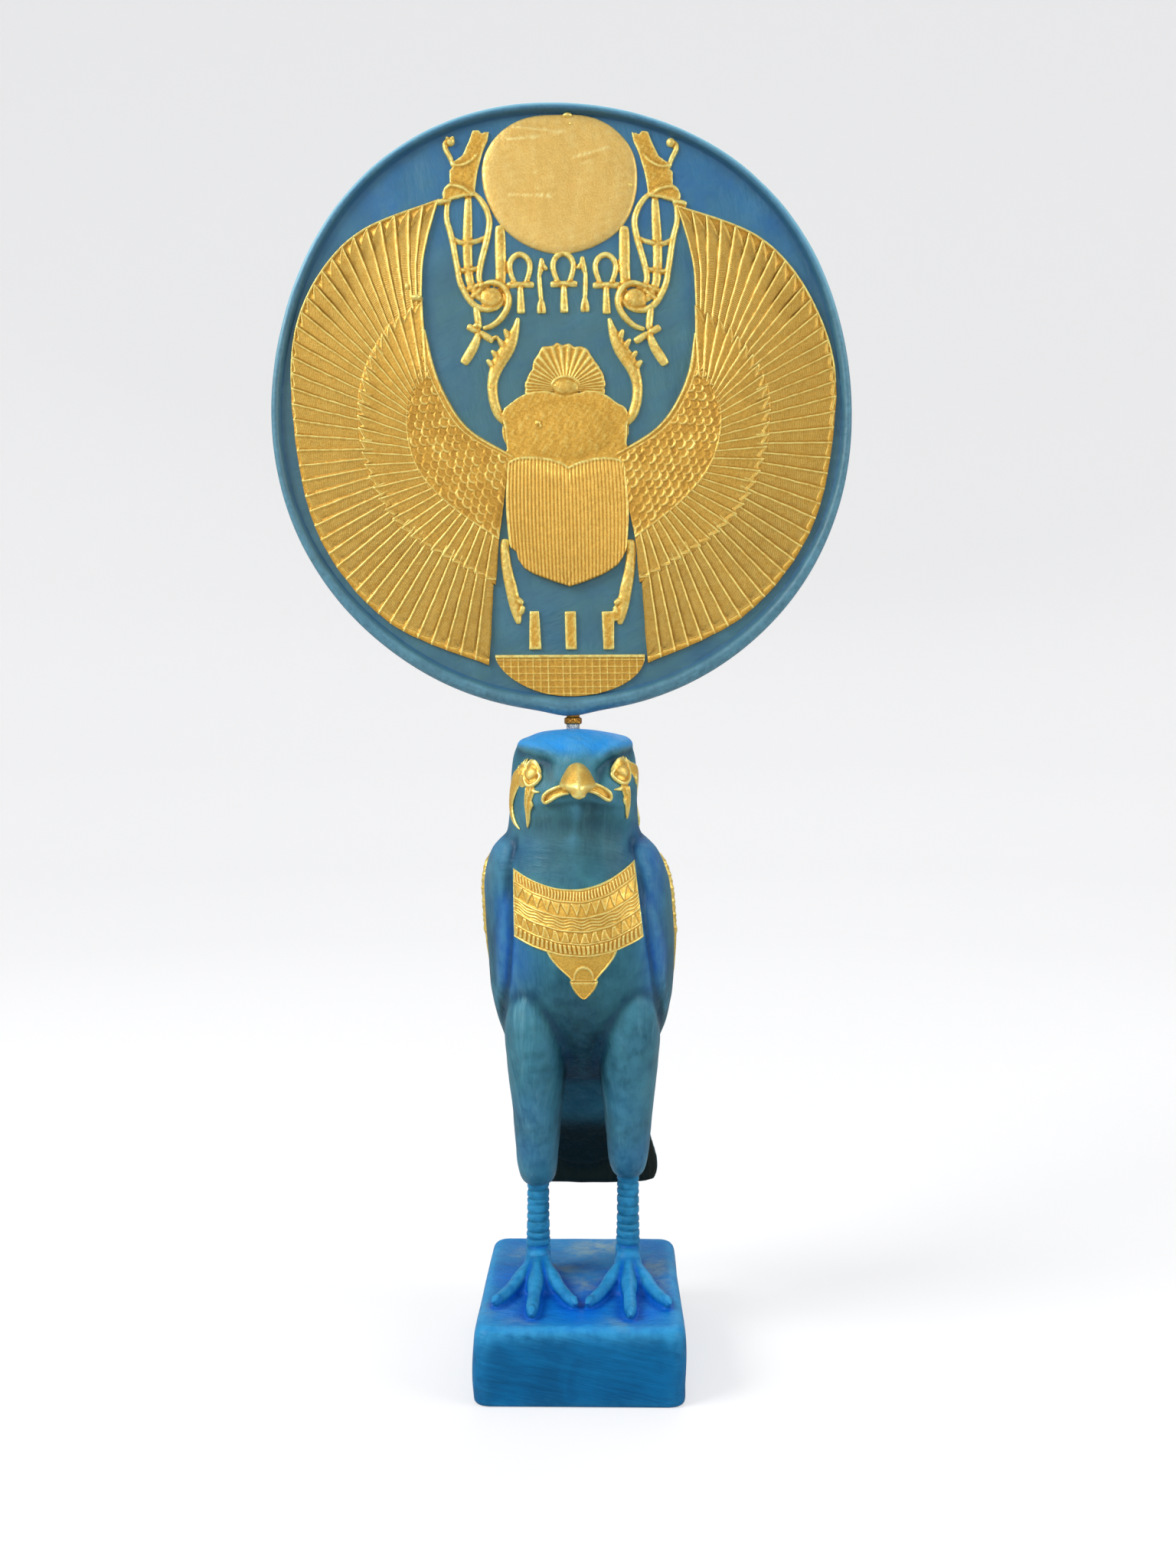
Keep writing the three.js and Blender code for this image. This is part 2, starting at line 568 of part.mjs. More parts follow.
function sunDisc() {
  const sun = new THREE.Shape(new THREE.EllipseCurve(0, 90.7, 30.4, 27.5).getPoints(32));
  const strokes = [-14.6, 0, 14.8].map((x) => raised(strip([[x, -80], [x, -95.2]], 4.6, 1)));
  const figures = join([
    raised(sun, RELIEF + 0.6),
    ...[-1, 1].flatMap((side) => [wingRelief(side), ...uraeus(side)]),
    ...[[-17, 50.8], [0.2, 50.8], [17.2, 50.8]].flatMap(([x, z]) => ankh(x, z, 0.92)),
    ...sceptre(-8.2, 1), ...sceptre(9.4, -1), ...scarab(), ...strokes, basket(),
  ]);
  const [across, up] = [DISC_WIDTH / DRAWN_DISC[0], DISC_HEIGHT / DRAWN_DISC[1]];
  const [right, rise] = DRAWING_SHIFT;
  const relief = solid(moulded(meshGeometry(figures), (x, y, z) => [x * across + right, y, z * up + rise]));
  const bossRadius = PIN_RADIUS + CLEARANCE + BOSS_WALL;
  const boss = new THREE.LatheGeometry(
    [[0, discTip], [bossRadius, discTip], [bossRadius, discTip + 8], [0, discTip + 12]].map(v2), 12,
  ).rotateX(Math.PI / 2);
  // The bore stays in line with the upright pin, so it is turned back by the disc's lean.
  const bore = rod(PIN_RADIUS + CLEARANCE, -5, PIN_DEPTH_IN_DISC + CLEARANCE);
  bore.rotateY(DISC_LEAN).translate(0, 0, discTip);
  return board().add(relief).add(solid(boss)).subtract(solid(bore));
}

function pin() {
  const seat = headTop + PIN_SHOWING - CLEARANCE;
  const low = headTop - PIN_DEPTH_IN_HEAD;
  const high = headTop + PIN_SHOWING + PIN_DEPTH_IN_DISC;
  const [r, wide] = [PIN_RADIUS, PIN_COLLAR_RADIUS];
  const under = seat - PIN_COLLAR_HEIGHT;
  const profile = [
    [0, low], [r, low], [r, under], [wide, under + 0.5], [wide, seat - 0.5], [r, seat], [r, high],
    [0, high],
  ];
  return solid(new THREE.LatheGeometry(profile.map(v2), 12).rotateX(Math.PI / 2));
}

function mesh(name, body, colour, roughness, metalness) {
  const geometry = meshGeometry(solid(mergeVertices(meshGeometry(body), SLIVER)));
  geometry.computeVertexNormals();
  const material = new THREE.MeshStandardMaterial({ color: colour, roughness, metalness });
  const part = new THREE.Mesh(geometry, material);
  part.name = name;
  return part;
}

const figure = new THREE.Group();
figure.add(mesh('falcon', falcon(), 0x2d6f94, 0.5, 0));

const disc = mesh('sun_disc', sunDisc(), 0x3c78b4, 0.5, 0);
disc.position.set(0, 0, -discTip);
const tilted = new THREE.Group();
tilted.position.set(pinX, 0, headTop + PIN_SHOWING);
tilted.rotation.y = -DISC_LEAN;
tilted.add(disc);
figure.add(tilted);

const metalPin = mesh('pin', pin(), 0xc9a24a, 0.35, 1);
metalPin.position.set(pinX, 0, 0);
figure.add(metalPin);

export default figure;
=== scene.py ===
# %% [markdown]
# # A painted falcon with a winged-scarab disc
# The real object is a cast figure about half a metre high, painted blue and picked out in gold.
# It is made of three things: the falcon on its plinth, the oval disc, and the metal pin between them.
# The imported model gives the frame. Everything here is made around it, in metres, facing -Y.

import bmesh
import bpy
import numpy as np
from math import pi, radians
from mathutils import Matrix, Vector


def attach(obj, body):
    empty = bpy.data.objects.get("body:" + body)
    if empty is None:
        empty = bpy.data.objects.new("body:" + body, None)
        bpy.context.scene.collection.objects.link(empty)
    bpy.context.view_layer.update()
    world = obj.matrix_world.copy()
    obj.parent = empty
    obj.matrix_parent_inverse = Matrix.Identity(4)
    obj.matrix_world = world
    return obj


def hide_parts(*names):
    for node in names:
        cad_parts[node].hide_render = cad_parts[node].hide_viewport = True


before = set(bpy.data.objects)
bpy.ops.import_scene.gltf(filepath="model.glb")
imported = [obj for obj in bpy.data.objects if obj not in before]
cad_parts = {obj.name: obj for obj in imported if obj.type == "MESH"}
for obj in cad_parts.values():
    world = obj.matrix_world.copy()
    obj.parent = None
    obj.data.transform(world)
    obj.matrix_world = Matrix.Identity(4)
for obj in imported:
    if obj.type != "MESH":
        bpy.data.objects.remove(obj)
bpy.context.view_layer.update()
MM = 0.001
# Heights in the tables below, in millimetres, are counted so that the plinth lies between these two.
PLINTH_TOP = 26
UNDERSIDE = -3

# %% [markdown]
# ## Camera, room and light
# The camera stands where the plinth's sides, the disc and the horizon put it: level with the head, nearly straight
# ahead. A round grey room has no corner to show, so the figure stands before one even tone from every side, and its
# walls light the gold.

# %% Camera
DEGREES_DOWN = 1.28
DEGREES_LEFT = 0.81


def add_object(name, data):
    """A new object in the scene."""
    made = bpy.data.objects.new(name, data)
    bpy.context.scene.collection.objects.link(made)
    return made


eye = bpy.data.cameras.new("camera")
eye.sensor_fit = "HORIZONTAL"
eye.sensor_width = 36
eye.lens = 43.06
camera = add_object("camera", eye)
camera.location = (0.0105, -0.562, 0.241)
camera.rotation_euler = (radians(90 - DEGREES_DOWN), 0, radians(DEGREES_LEFT))
bpy.context.scene.camera = camera
bpy.context.scene.view_settings.view_transform = "Standard"
print("camera at", tuple(camera.location), "lens", eye.lens)


# %% Helpers that add a shader node and a material
def node(tree, kind, **inputs):
    """Adds a shader node. Values go to its inputs, sockets are linked to them, and other names are its settings."""
    made = tree.nodes.new(kind)
    for name, value in inputs.items():
        if name.startswith("set_"):
            setattr(made, name[4:], value)
    for name, value in inputs.items():
        if name.startswith("set_"):
            continue
        target = made.inputs[int(name[1:])] if name[1:].isdigit() else made.inputs[name.replace("_", " ")]
        if isinstance(value, bpy.types.NodeSocket):
            tree.links.new(value, target)
        else:
            target.default_value = value
    return made


def new_material(name, colour, roughness, metallic=0.0):
    """A material with its own Principled shader. Returns the material, its tree and the shader."""
    material = bpy.data.materials.new(name)
    material.use_nodes = True
    material.diffuse_color = colour
    shader = material.node_tree.nodes["Principled BSDF"]
    shader.inputs["Base Color"].default_value = colour
    shader.inputs["Roughness"].default_value = roughness
    shader.inputs["Metallic"].default_value = metallic
    return material, material.node_tree, shader


def meshed(name, form):
    """A bmesh made into a mesh, and freed."""
    mesh = bpy.data.meshes.new(name)
    form.to_mesh(mesh)
    form.free()
    return mesh


print("node helpers ready")

# %% [markdown]
# The room is one outline of a floor, a curve and a wall, spun all the way round.

# %% The round room
ROOM = [(0.0, 0.0), (1.3, 0.0), (1.75, 0.05), (2.1, 0.22), (2.35, 0.55), (2.45, 1.0), (2.45, 2.6)]
WALL_GREY = 0.5

shell = bmesh.new()
line = [shell.verts.new((r, 0, z)) for r, z in ROOM]
edges = [shell.edges.new(pair) for pair in zip(line, line[1:])]
bmesh.ops.spin(shell, geom=line + edges, cent=(0, 0, 0), axis=(0, 0, 1), angle=2 * pi, steps=64, use_merge=True)
bmesh.ops.remove_doubles(shell, verts=shell.verts, dist=1e-5)
bmesh.ops.recalc_face_normals(shell, faces=shell.faces)
room_mesh = meshed("room", shell)
room_mesh.shade_smooth()
room = add_object("room", room_mesh)
room_paint, room_tree, room_shader = new_material("room_paint", (WALL_GREY, WALL_GREY, WALL_GREY, 1), 0.9)
# Seen straight by the camera, the room also glows, so the backdrop is pale and even. The figure isn't lit by that glow,
# only by the lamps, the sky and what the room sends back of them.
seen_straight = room_tree.nodes.new("ShaderNodeLightPath").outputs["Is Camera Ray"]
room_tree.links.new(seen_straight, room_shader.inputs["Emission Strength"])
room_shader.inputs["Emission Color"].default_value = (WALL_GREY, WALL_GREY, WALL_GREY + 0.005, 1)
room_mesh.materials.append(room_paint)
print("room faces:", len(room_mesh.polygons))


# %% Lights
def softbox(name, place, target, size, power):
    """A rectangular area light that faces a point."""
    lamp = bpy.data.lights.new(name, "AREA")
    lamp.shape = "RECTANGLE"
    lamp.size, lamp.size_y = size
    lamp.energy = power
    holder = add_object(name, lamp)
    holder.location = place
    holder.rotation_euler = (Vector(target) - Vector(place)).to_track_quat("-Z", "Y").to_euler()


softbox("key", (-1.35, -0.75, 1.3), (0, 0, 0.27), (0.8, 0.8), 24)
softbox("fill", (1.5, -0.6, 0.9), (0, 0, 0.25), (0.9, 0.9), 11)
softbox("back", (0.3, 1.5, 1.6), (0, 0, 0.3), (1.2, 1.2), 8)
softbox("front", (-0.3, -1.7, 0.8), (0, 0, 0.3), (1.2, 0.8), 4)

world = bpy.data.worlds.new("soft_sky")
world.use_nodes = True
sky = world.node_tree.nodes["Background"]
sky.inputs["Color"].default_value = (0.95, 0.97, 1.0, 1)
sky.inputs["Strength"].default_value = 0.6
bpy.context.scene.world = world
print("four softboxes and a pale sky")

# %% [markdown]
# ## Ways of shaping
# Most forms are a ball whose rings are moved to measured sections, as a carver works from templates.
# The tables are in millimetres, and each finished piece is brought to metres.


# %% Smooth lines through a table's rows, moved points and handwork
def smooth(value, low, high):
    """From 0 at low to 1 at high, easing in and out."""
    share = np.clip((np.asarray(value, float) - low) / (high - low), 0, 1)
    return share * share * (3 - 2 * share)


def mix(a, b, share):
    """a where share is 0 and b where it is 1."""
    return a + (b - a) * share


def between(rows, share):
    """A smooth line through the rows of a table, at each share of its length."""
    rows = np.asarray(rows, float)
    place = np.clip(np.asarray(share, float), 0, 1) * (len(rows) - 1)
    first = np.clip(place.astype(int), 0, len(rows) - 2)
    t = (place - first)[..., None]
    a, b, c, d = (rows[np.clip(first + k, 0, len(rows) - 1)] for k in (-1, 0, 1, 2))
    return b + 0.5 * t * (c - a + t * (2 * a - 5 * b + 4 * c - d + t * (3 * (b - c) + d - a)))


def even(rows, share):
    """The same line, but with the share measured evenly along its length."""
    steps = np.linspace(0, 1, 400)
    points = between(rows, steps)
    lengths = np.concatenate([[0], np.cumsum(np.linalg.norm(np.diff(points, axis=0), axis=1))])
    return between(rows, np.interp(share, lengths / lengths[-1], steps))


def move(form, change):
    """Moves every vertex of a bmesh: change takes and gives an array of points."""
    points = change(np.array([v.co for v in form.verts]))
    for vert, point in zip(form.verts, points.tolist()):
        vert.co = point


def wander(points, wavelength, seed):
    """A slow uneven swell from -1 to 1, like handwork: a few waves that cross in seeded directions."""
    waves = np.random.default_rng(seed)
    total = 0
    for _ in range(9):
        way = waves.normal(size=3)
        way *= 2 * pi / (np.linalg.norm(way) * wavelength * waves.uniform(0.6, 1.6))
        total = total + np.sin(points @ way + waves.uniform(0, 2 * pi))
    return total / 5


print("line helpers ready")


# %% Forms made from a ball
def ball(around, along):
    """A ball as a bmesh, ready for its rings to be moved."""
    form = bmesh.new()
    bmesh.ops.create_uvsphere(form, u_segments=around, v_segments=along, radius=1)
    return form


def power(value, squareness):
    """A sine or cosine bent so that a circle becomes squarer: 2 leaves it round."""
    return np.sign(value) * np.abs(value) ** (2 / squareness)


def stacked(rows, around, along, middle=0.0, squareness=lambda z: 2.0):
    """A form of level sections. Each row is height, half width, front and back."""
    form = ball(around, along)

    def section(p):
        share = np.arccos(np.clip(p[:, 2], -1, 1)) / pi
        angle = np.arctan2(p[:, 1], p[:, 0])
        z, half, front, back = between(rows, share).T
        n = squareness(z)
        x = middle + half * power(np.cos(angle), n)
        y = (front + back) / 2 + (back - front) / 2 * power(np.sin(angle), n)
        return np.stack([x, y, z], 1)

    move(form, section)
    return form


def limb(points, size, around=16, along=24, roundness=0.35, up=(0, 0, 1)):
    """A limb along a line, with a half width and half height at each share, and rounded ends.
    Its height stands along up, which is one direction or one for each point."""
    form = ball(around, along)

    def follow(p):
        share = 1 - np.arccos(np.clip(p[:, 2], -1, 1)) / pi
        angle = np.arctan2(p[:, 1], p[:, 0])
        spot = between(points, share)
        ahead = between(points, share + 1e-3) - between(points, share - 1e-3)
        ahead /= np.linalg.norm(ahead, axis=1)[:, None]
        side = np.cross(ahead, between(up, share) if np.ndim(up) > 1 else np.array(up, float))
        side /= np.linalg.norm(side, axis=1)[:, None]
        over = np.cross(side, ahead)
        cap = np.clip(4 * share * (1 - share), 0, 1) ** roundness
        wide, high = size(share)
        across, lift = cap * wide * np.cos(angle), cap * high * np.sin(angle)
        return spot + side * across[:, None] - over * lift[:, None]

    move(form, follow)
    return form


print("form helpers ready")


# %% Fusing forms, and reading and moving meshes
def gathered(parts):
    """Several bmeshes as one."""
    whole = bmesh.new()
    carrier = bpy.data.meshes.new("carrier")
    for part in parts:
        part.to_mesh(carrier)
        part.free()
        whole.from_mesh(carrier)
    bpy.data.meshes.remove(carrier)
    return whole


def cast(name, form, grain_size, rounds, strength=0.5):
    """Fuses overlapping forms into one skin, as a mould does, and eases its creases. Returns a mesh."""
    bmesh.ops.recalc_face_normals(form, faces=form.faces)
    mesh = meshed(name, form)
    holder = add_object(name, mesh)
    fuse = holder.modifiers.new("fuse", "REMESH")
    fuse.mode = "VOXEL"
    fuse.voxel_size = grain_size
    ease = holder.modifiers.new("ease", "SMOOTH")
    ease.factor = strength
    ease.iterations = rounds
    ready = holder.evaluated_get(bpy.context.evaluated_depsgraph_get())
    skin = bpy.data.meshes.new_from_object(ready)
    bpy.data.objects.remove(holder)
    bpy.data.meshes.remove(mesh)
    skin.name = name
    return skin


def points_of(mesh, kind="co"):
    """The vertices' points, or their normals, as rows of an array."""
    flat = np.empty(len(mesh.vertices) * 3)
    mesh.vertices.foreach_get(kind, flat)
    return flat.reshape(-1, 3)


def normals_of(mesh):
    """The vertices' normals, as rows of an array."""
    return points_of(mesh, "normal")


def reshape(mesh, change):
    """Moves every vertex of a mesh: change takes and gives an array of points."""
    mesh.vertices.foreach_set("co", change(points_of(mesh)).ravel())
    mesh.update()


def mark(mesh, name, values):
    """Keeps a number for each vertex, for a material to read."""
    mesh.attributes.new(name, "FLOAT", "POINT").data.foreach_set("value", np.asarray(values, np.float32))


def hollows(mesh, rounds, reach):
    """How far each point lies below its softened surroundings, from -1 on a crest to 1 in a hollow."""
    points = points_of(mesh)
    count = len(points)
    pairs = np.empty(len(mesh.edges) * 2, int)
    mesh.edges.foreach_get("vertices", pairs)
    a, b = pairs.reshape(-1, 2).T
    ends, others = np.concatenate([a, b]), np.concatenate([b, a])
    near = np.maximum(np.bincount(ends, minlength=count), 1)
    soft = points.copy()
    for _ in range(rounds):
        soft = np.stack([np.bincount(ends, soft[others, k], count) / near for k in range(3)], 1)
    return np.clip(((soft - points) * normals_of(mesh)).sum(1) / reach, -1, 1)


def rows_of(value):
    """One number, or one for each spot along a line, as a table for between()."""
    return np.array(value, float).reshape(-1, 1) if np.ndim(value) else np.full((2, 1), float(value))


print("mesh helpers ready")


# %% A finished piece
def piece(name, mesh, material, replaced=None):
    """Brings a mesh from millimetres to metres, the plinth's underside to the floor, and makes it a piece."""
    mesh.transform(Matrix.Scale(MM, 4) @ Matrix.Translation((0, 0, -UNDERSIDE)))
    mesh.shade_smooth()
    mesh.materials.append(material)
    made = add_object(name, mesh)
    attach(made, "root")
    if replaced:
        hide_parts(replaced)
    print(name, "faces:", len(mesh.polygons), "triangles:", sum(len(f.vertices) - 2 for f in mesh.polygons))



# %% [markdown]
# ## The paints
# The blue is brushed acrylic over resin: streaks that follow the form, cloudy changes between teal and a stronger blue,
# and paler edges where the brush dragged dry, which also serve as painted highlight, with painted shade in the hollows.
# The gold is a metallic paint with a fine beaten grain, painted highlight on the ridges, and grooves browned as dark
# wash and painted shade. What several paints share is made once, as a group with named values.


# %% Groups that the paints share
def new_group(name, ins, outs):
    """An empty group with named number inputs and outputs."""
    tree = bpy.data.node_groups.new(name, "ShaderNodeTree")
    for title, value in ins.items():
        kind = "NodeSocketVector" if isinstance(value, tuple) else "NodeSocketFloat"
        tree.interface.new_socket(title, in_out="INPUT", socket_type=kind).default_value = value
    for title in outs:
        tree.interface.new_socket(title, in_out="OUTPUT", socket_type="NodeSocketFloat")
    return tree, tree.nodes.new("NodeGroupInput"), tree.nodes.new("NodeGroupOutput")


def place_at(tree):
    """Each point's place on the piece, in metres."""
    return node(tree, "ShaderNodeTexCoord").outputs["Object"]


def attribute(tree, name):
    """The number that mark() kept under this name."""
    return node(tree, "ShaderNodeAttribute", set_attribute_name=name).outputs["Fac"]


def maths(tree, operation, a, b, clamp=False):
    """One operation on two sockets or numbers, held from 0 to 1 by clamp."""
    return node(tree, "ShaderNodeMath", set_operation=operation, set_use_clamp=clamp, _0=a, _1=b).outputs[0]


def ranged(tree, value, low, high, to_low=0.0, to_high=1.0):
    """A value brought from one range to another, and held at its ends."""
    return node(tree, "ShaderNodeMapRange", Value=value, From_Min=low, From_Max=high,
                To_Min=to_low, To_Max=to_high).outputs[0]


# Brush: streaks stretched along one direction, as a height.
brush, brush_in, brush_out = new_group(
    "brush", {"Scale": 900.0, "Stretch": (1.0, 1.0, 0.12), "Turn": (0.0, 0.0, 0.0)}, ["Streaks"])
turned = node(brush, "ShaderNodeMapping", Vector=place_at(brush), Rotation=brush_in.outputs["Turn"])
drawn = node(brush, "ShaderNodeVectorMath", set_operation="MULTIPLY", _0=turned.outputs[0],
             _1=brush_in.outputs["Stretch"])
bristles = node(brush, "ShaderNodeTexNoise", Vector=drawn.outputs[0], Scale=brush_in.outputs["Scale"],
                Detail=4.0, Roughness=0.6, Distortion=0.25)
coarse_scale = maths(brush, "MULTIPLY", brush_in.outputs["Scale"], 0.3)
ropes = node(brush, "ShaderNodeTexNoise", Vector=drawn.outputs[0], Scale=coarse_scale, Detail=2.0)
brush.links.new(maths(brush, "ADD", maths(brush, "MULTIPLY", ropes.outputs[0], 0.6),
                      maths(brush, "MULTIPLY", bristles.outputs[0], 0.4)), brush_out.inputs["Streaks"])

# Cloud: slow uneven patches from 0 to 1.
cloud, cloud_in, cloud_out = new_group("cloud", {"Scale": 40.0, "Low": 0.4, "High": 0.6}, ["Patches"])
puffs = node(cloud, "ShaderNodeTexNoise", Vector=place_at(cloud), Scale=cloud_in.outputs["Scale"],
             Detail=3.0, Roughness=0.55, Distortion=0.6)
cloud.links.new(ranged(cloud, puffs.outputs[0], cloud_in.outputs["Low"], cloud_in.outputs["High"]),
                cloud_out.inputs["Patches"])

# Relief: the crests, which the paints lighten as wear and painted highlight, and the hollows, where they lay dark
# or deeper paint and painted shade, broken up by a fine noise.
relief, relief_in, relief_out = new_group(
    "relief", {"Crest": 1.0, "Hollow": 1.0, "Break": 900.0}, ["Crests", "Hollows"])
depth = attribute(relief, "hollow")
flecks = node(relief, "ShaderNodeTexNoise", Vector=place_at(relief), Scale=relief_in.outputs["Break"], Detail=2.0)
broken = ranged(relief, flecks.outputs[0], 0.3, 0.6, 0.35, 1.0)
crest_part = maths(relief, "MULTIPLY", maths(relief, "MULTIPLY", depth, -1.0), relief_in.outputs["Crest"], True)
relief.links.new(maths(relief, "MULTIPLY", crest_part, broken, True), relief_out.inputs["Crests"])
relief.links.new(maths(relief, "MULTIPLY", depth, relief_in.outputs["Hollow"], True), relief_out.inputs["Hollows"])

# Grain: a fine beaten surface, as a height.
grain, grain_in, grain_out = new_group("grain", {"Scale": 1500.0}, ["Height"])
beaten = node(grain, "ShaderNodeTexNoise", Vector=place_at(grain), Scale=grain_in.outputs["Scale"], Detail=3.0)
grain.links.new(beaten.outputs[0], grain_out.inputs["Height"])
print("groups:", [tree.name for tree in bpy.data.node_groups])


# %% Placing a group, and mixing colours
def placed(tree, group, **values):
    """One of the groups in a material's tree, with its values."""
    made = tree.nodes.new("ShaderNodeGroup")
    made.node_tree = group
    for name, value in values.items():
        made.inputs[name].default_value = value
    return made


def mixed(tree, share, a, b):
    """Two colours mixed by a share, which is held from 0 to 1; a colour is a socket or four numbers."""
    blend = node(tree, "ShaderNodeMix", set_data_type="RGBA", set_clamp_factor=True)
    for socket, value in ((blend.inputs[0], share), (blend.inputs[6], a), (blend.inputs[7], b)):
        if isinstance(value, bpy.types.NodeSocket):
            tree.links.new(value, socket)
        else:
            socket.default_value = value
    return blend.outputs[2]


def seen(red, green, blue):
    """A colour as it is seen in daylight, from 0 to 255, as linear light."""
    def linear(n):
        return ((n / 255 + 0.055) / 1.055) ** 2.4 if n > 10 else n / 255 / 12.92
    return (linear(red), linear(green), linear(blue), 1.0)


def layered(tree, colour, layers):
    """A colour with others laid over it in turn. Each layer is its share, or the mark that gives it, then how strong
    it is, and its colour."""
    for share, strength, over in layers:
        if isinstance(share, str):
            share = attribute(tree, share)
        colour = mixed(tree, maths(tree, "MULTIPLY", share, strength), colour, over)
    return colour


def bumped(tree, shader, height, distance):
    """Gives a shader a bump from a height that is distance metres deep."""
    lift = node(tree, "ShaderNodeBump", Height=height, Distance=distance, Strength=1.0)
    tree.links.new(lift.outputs[0], shader.inputs["Normal"])


def brushed(tree, shader, colour, height, roughness, distance):
    """Gives a brushed paint its colour, and its roughness and bump from the height of the strokes."""
    tree.links.new(colour, shader.inputs["Base Color"])
    tree.links.new(ranged(tree, height, 0.3, 0.7, *roughness), shader.inputs["Roughness"])
    bumped(tree, shader, height, distance)


def either(tree, share, first, second):
    """One height where share is 0 and another where it is 1."""
    return node(tree, "ShaderNodeMix", set_data_type="FLOAT", _0=share, _2=first, _3=second).outputs[0]


print("colours ready")

# %% [markdown]
# The falcon's blue is one material. Each vertex carries how much of each blue it has, and of painted shade and sheen,
# so that the patches lie where they were set and turn with the form.

# %% Falcon paint
body_paint, tree, shader = new_material("body_paint", seen(45, 105, 130), 0.42)
shader.inputs["Specular IOR Level"].default_value = 0.3
streaks = placed(tree, brush, Scale=620.0, Stretch=(1.0, 1.0, 0.1)).outputs[0]
rings = placed(tree, brush, Scale=560.0, Stretch=(0.24, 0.24, 1.0), Turn=(radians(14), radians(-10), 0.0)).outputs[0]
patches = placed(tree, cloud, Scale=55.0, Low=0.42, High=0.62).outputs[0]
small_patches = placed(tree, cloud, Scale=210.0, Low=0.35, High=0.7).outputs[0]
relief_wear_and_light = placed(tree, relief, Crest=1.3, Hollow=1.2, Break=260.0)
dry = maths(tree, "MULTIPLY", ranged(tree, streaks, 0.52, 0.66), attribute(tree, "dry"), True)
# Painted light among these layers: deep is dark teal paint and painted shade, grey and dry are partly painted sheen,
# the crests are lightened as wear and painted highlight, the hollows are darkened as painted shade, and shade is a
# painted shadow between the legs.
colour = layered(tree, mixed(tree, patches, seen(22, 88, 108), seen(48, 116, 132)), [
    ("deep", 1.0, seen(6, 48, 62)), ("strong", 1.0, seen(4, 88, 168)), ("grey", 1.0, seen(74, 120, 126)),
    ("crown", 1.0, seen(34, 150, 234)), (dry, 1.0, seen(104, 158, 172)),
    (relief_wear_and_light.outputs["Crests"], 0.35, seen(96, 172, 205)), (relief_wear_and_light.outputs["Hollows"], 0.6, seen(6, 50, 84)),
    (small_patches, 0.16, seen(70, 140, 150)), ("shade", 1.0, seen(0, 20, 12)),
])
brushed(tree, shader, colour, either(tree, attribute(tree, "rings"), streaks, rings), (0.36, 0.56), 0.0014)
print("falcon paint nodes:", len(tree.nodes))

# %% Gold paint
def gold_paint(name, body, bright, brown, rough=0.4, metallic=0.55):
    """Metallic gold paint: beaten grain, painted highlight on the crests, hollows browned as dark wash and painted
    shade, and faint brushing.
    """
    material, tree, shader = new_material(name, body, rough, metallic)
    fine = placed(tree, grain, Scale=1500.0).outputs[0]
    coarse = placed(tree, grain, Scale=420.0).outputs[0]
    patches = placed(tree, cloud, Scale=90.0, Low=0.35, High=0.65).outputs[0]
    relief_wear_and_light = placed(tree, relief, Crest=1.3, Hollow=1.0, Break=500.0)
    darker = tuple(0.82 * c for c in body[:3]) + (1.0,)
    # The crests are lightened as painted highlight, the hollows browned as dark wash and painted shade.
    colour = layered(tree, body, [(patches, 0.35, darker), (ranged(tree, fine, 0.42, 0.6), 0.3, brown),
                                  (relief_wear_and_light.outputs["Hollows"], 0.6, brown), (relief_wear_and_light.outputs["Crests"], 0.9, bright)])
    tree.links.new(colour, shader.inputs["Base Color"])
    tree.links.new(ranged(tree, coarse, 0.35, 0.65, rough - 0.08, rough + 0.12), shader.inputs["Roughness"])
    both = maths(tree, "ADD", maths(tree, "MULTIPLY", fine, 0.6), maths(tree, "MULTIPLY", coarse, 0.8))
    bumped(tree, shader, both, 0.00022)
    return material


gold = gold_paint("gold_paint", seen(232, 180, 72), seen(255, 240, 144), seen(146, 94, 24))
bright_gold = gold_paint("bright_gold", seen(248, 198, 84), seen(255, 246, 156), seen(160, 100, 26), 0.36)


def gilded(name, mesh, rounds, reach):
    """Marks the hollows of one of the body's gilded forms, and makes it a piece."""
    mark(mesh, "hollow", hollows(mesh, rounds, reach))
    piece(name, mesh, bright_gold)


print("gold paint ready")

# %% [markdown]
# ## The falcon
# Head, neck and body are one stack of sections. The folded wings are a second stack whose front is pressed flat along
# a curved line, and the thighs and the tail are stacks too. All are fused and eased, as they would be in clay.

# %% Tables of the falcon, in millimetres: height, half width, front, back
BODY = [
    [247.5, 0, 0, 0], [246.9, 9, -9, 9], [244.8, 17, -17.5, 16], [241.2, 22, -23.5, 20.5],
    [235, 24.2, -28.5, 22.5], [226, 24.9, -30.5, 23.5], [217, 25.2, -29.6, 24.2],
    [209, 26, -27.6, 25], [200, 28, -28.4, 26], [188, 31.4, -31.6, 28.4],
    [175, 33.5, -34, 30], [160, 34.5, -34, 31], [145, 34.2, -30, 32], [132, 32.5, -23, 33],
    [121, 29.5, -14.5, 33], [113, 25, -5.5, 32], [106, 15, 6, 30], [104, 0, 18, 18],
]
MANTLE = [
    [211, 0, 0, 0], [208, 22, -20, 20], [202, 31, -26, 26.5], [196, 34.6, -28, 29.5],
    [187, 37, -28, 32], [172, 37.8, -28, 34.5], [157, 37.6, -27, 37], [142, 36.6, -24, 39.5],
    [130, 34.5, -20, 42], [120, 31.4, -12, 44], [108, 29, -4, 46], [94, 26.6, 4, 48.5],
    [80, 23.5, 14, 50.5], [70, 19, 24, 51.5], [62, 10, 36, 51], [59, 0, 46, 46],
]
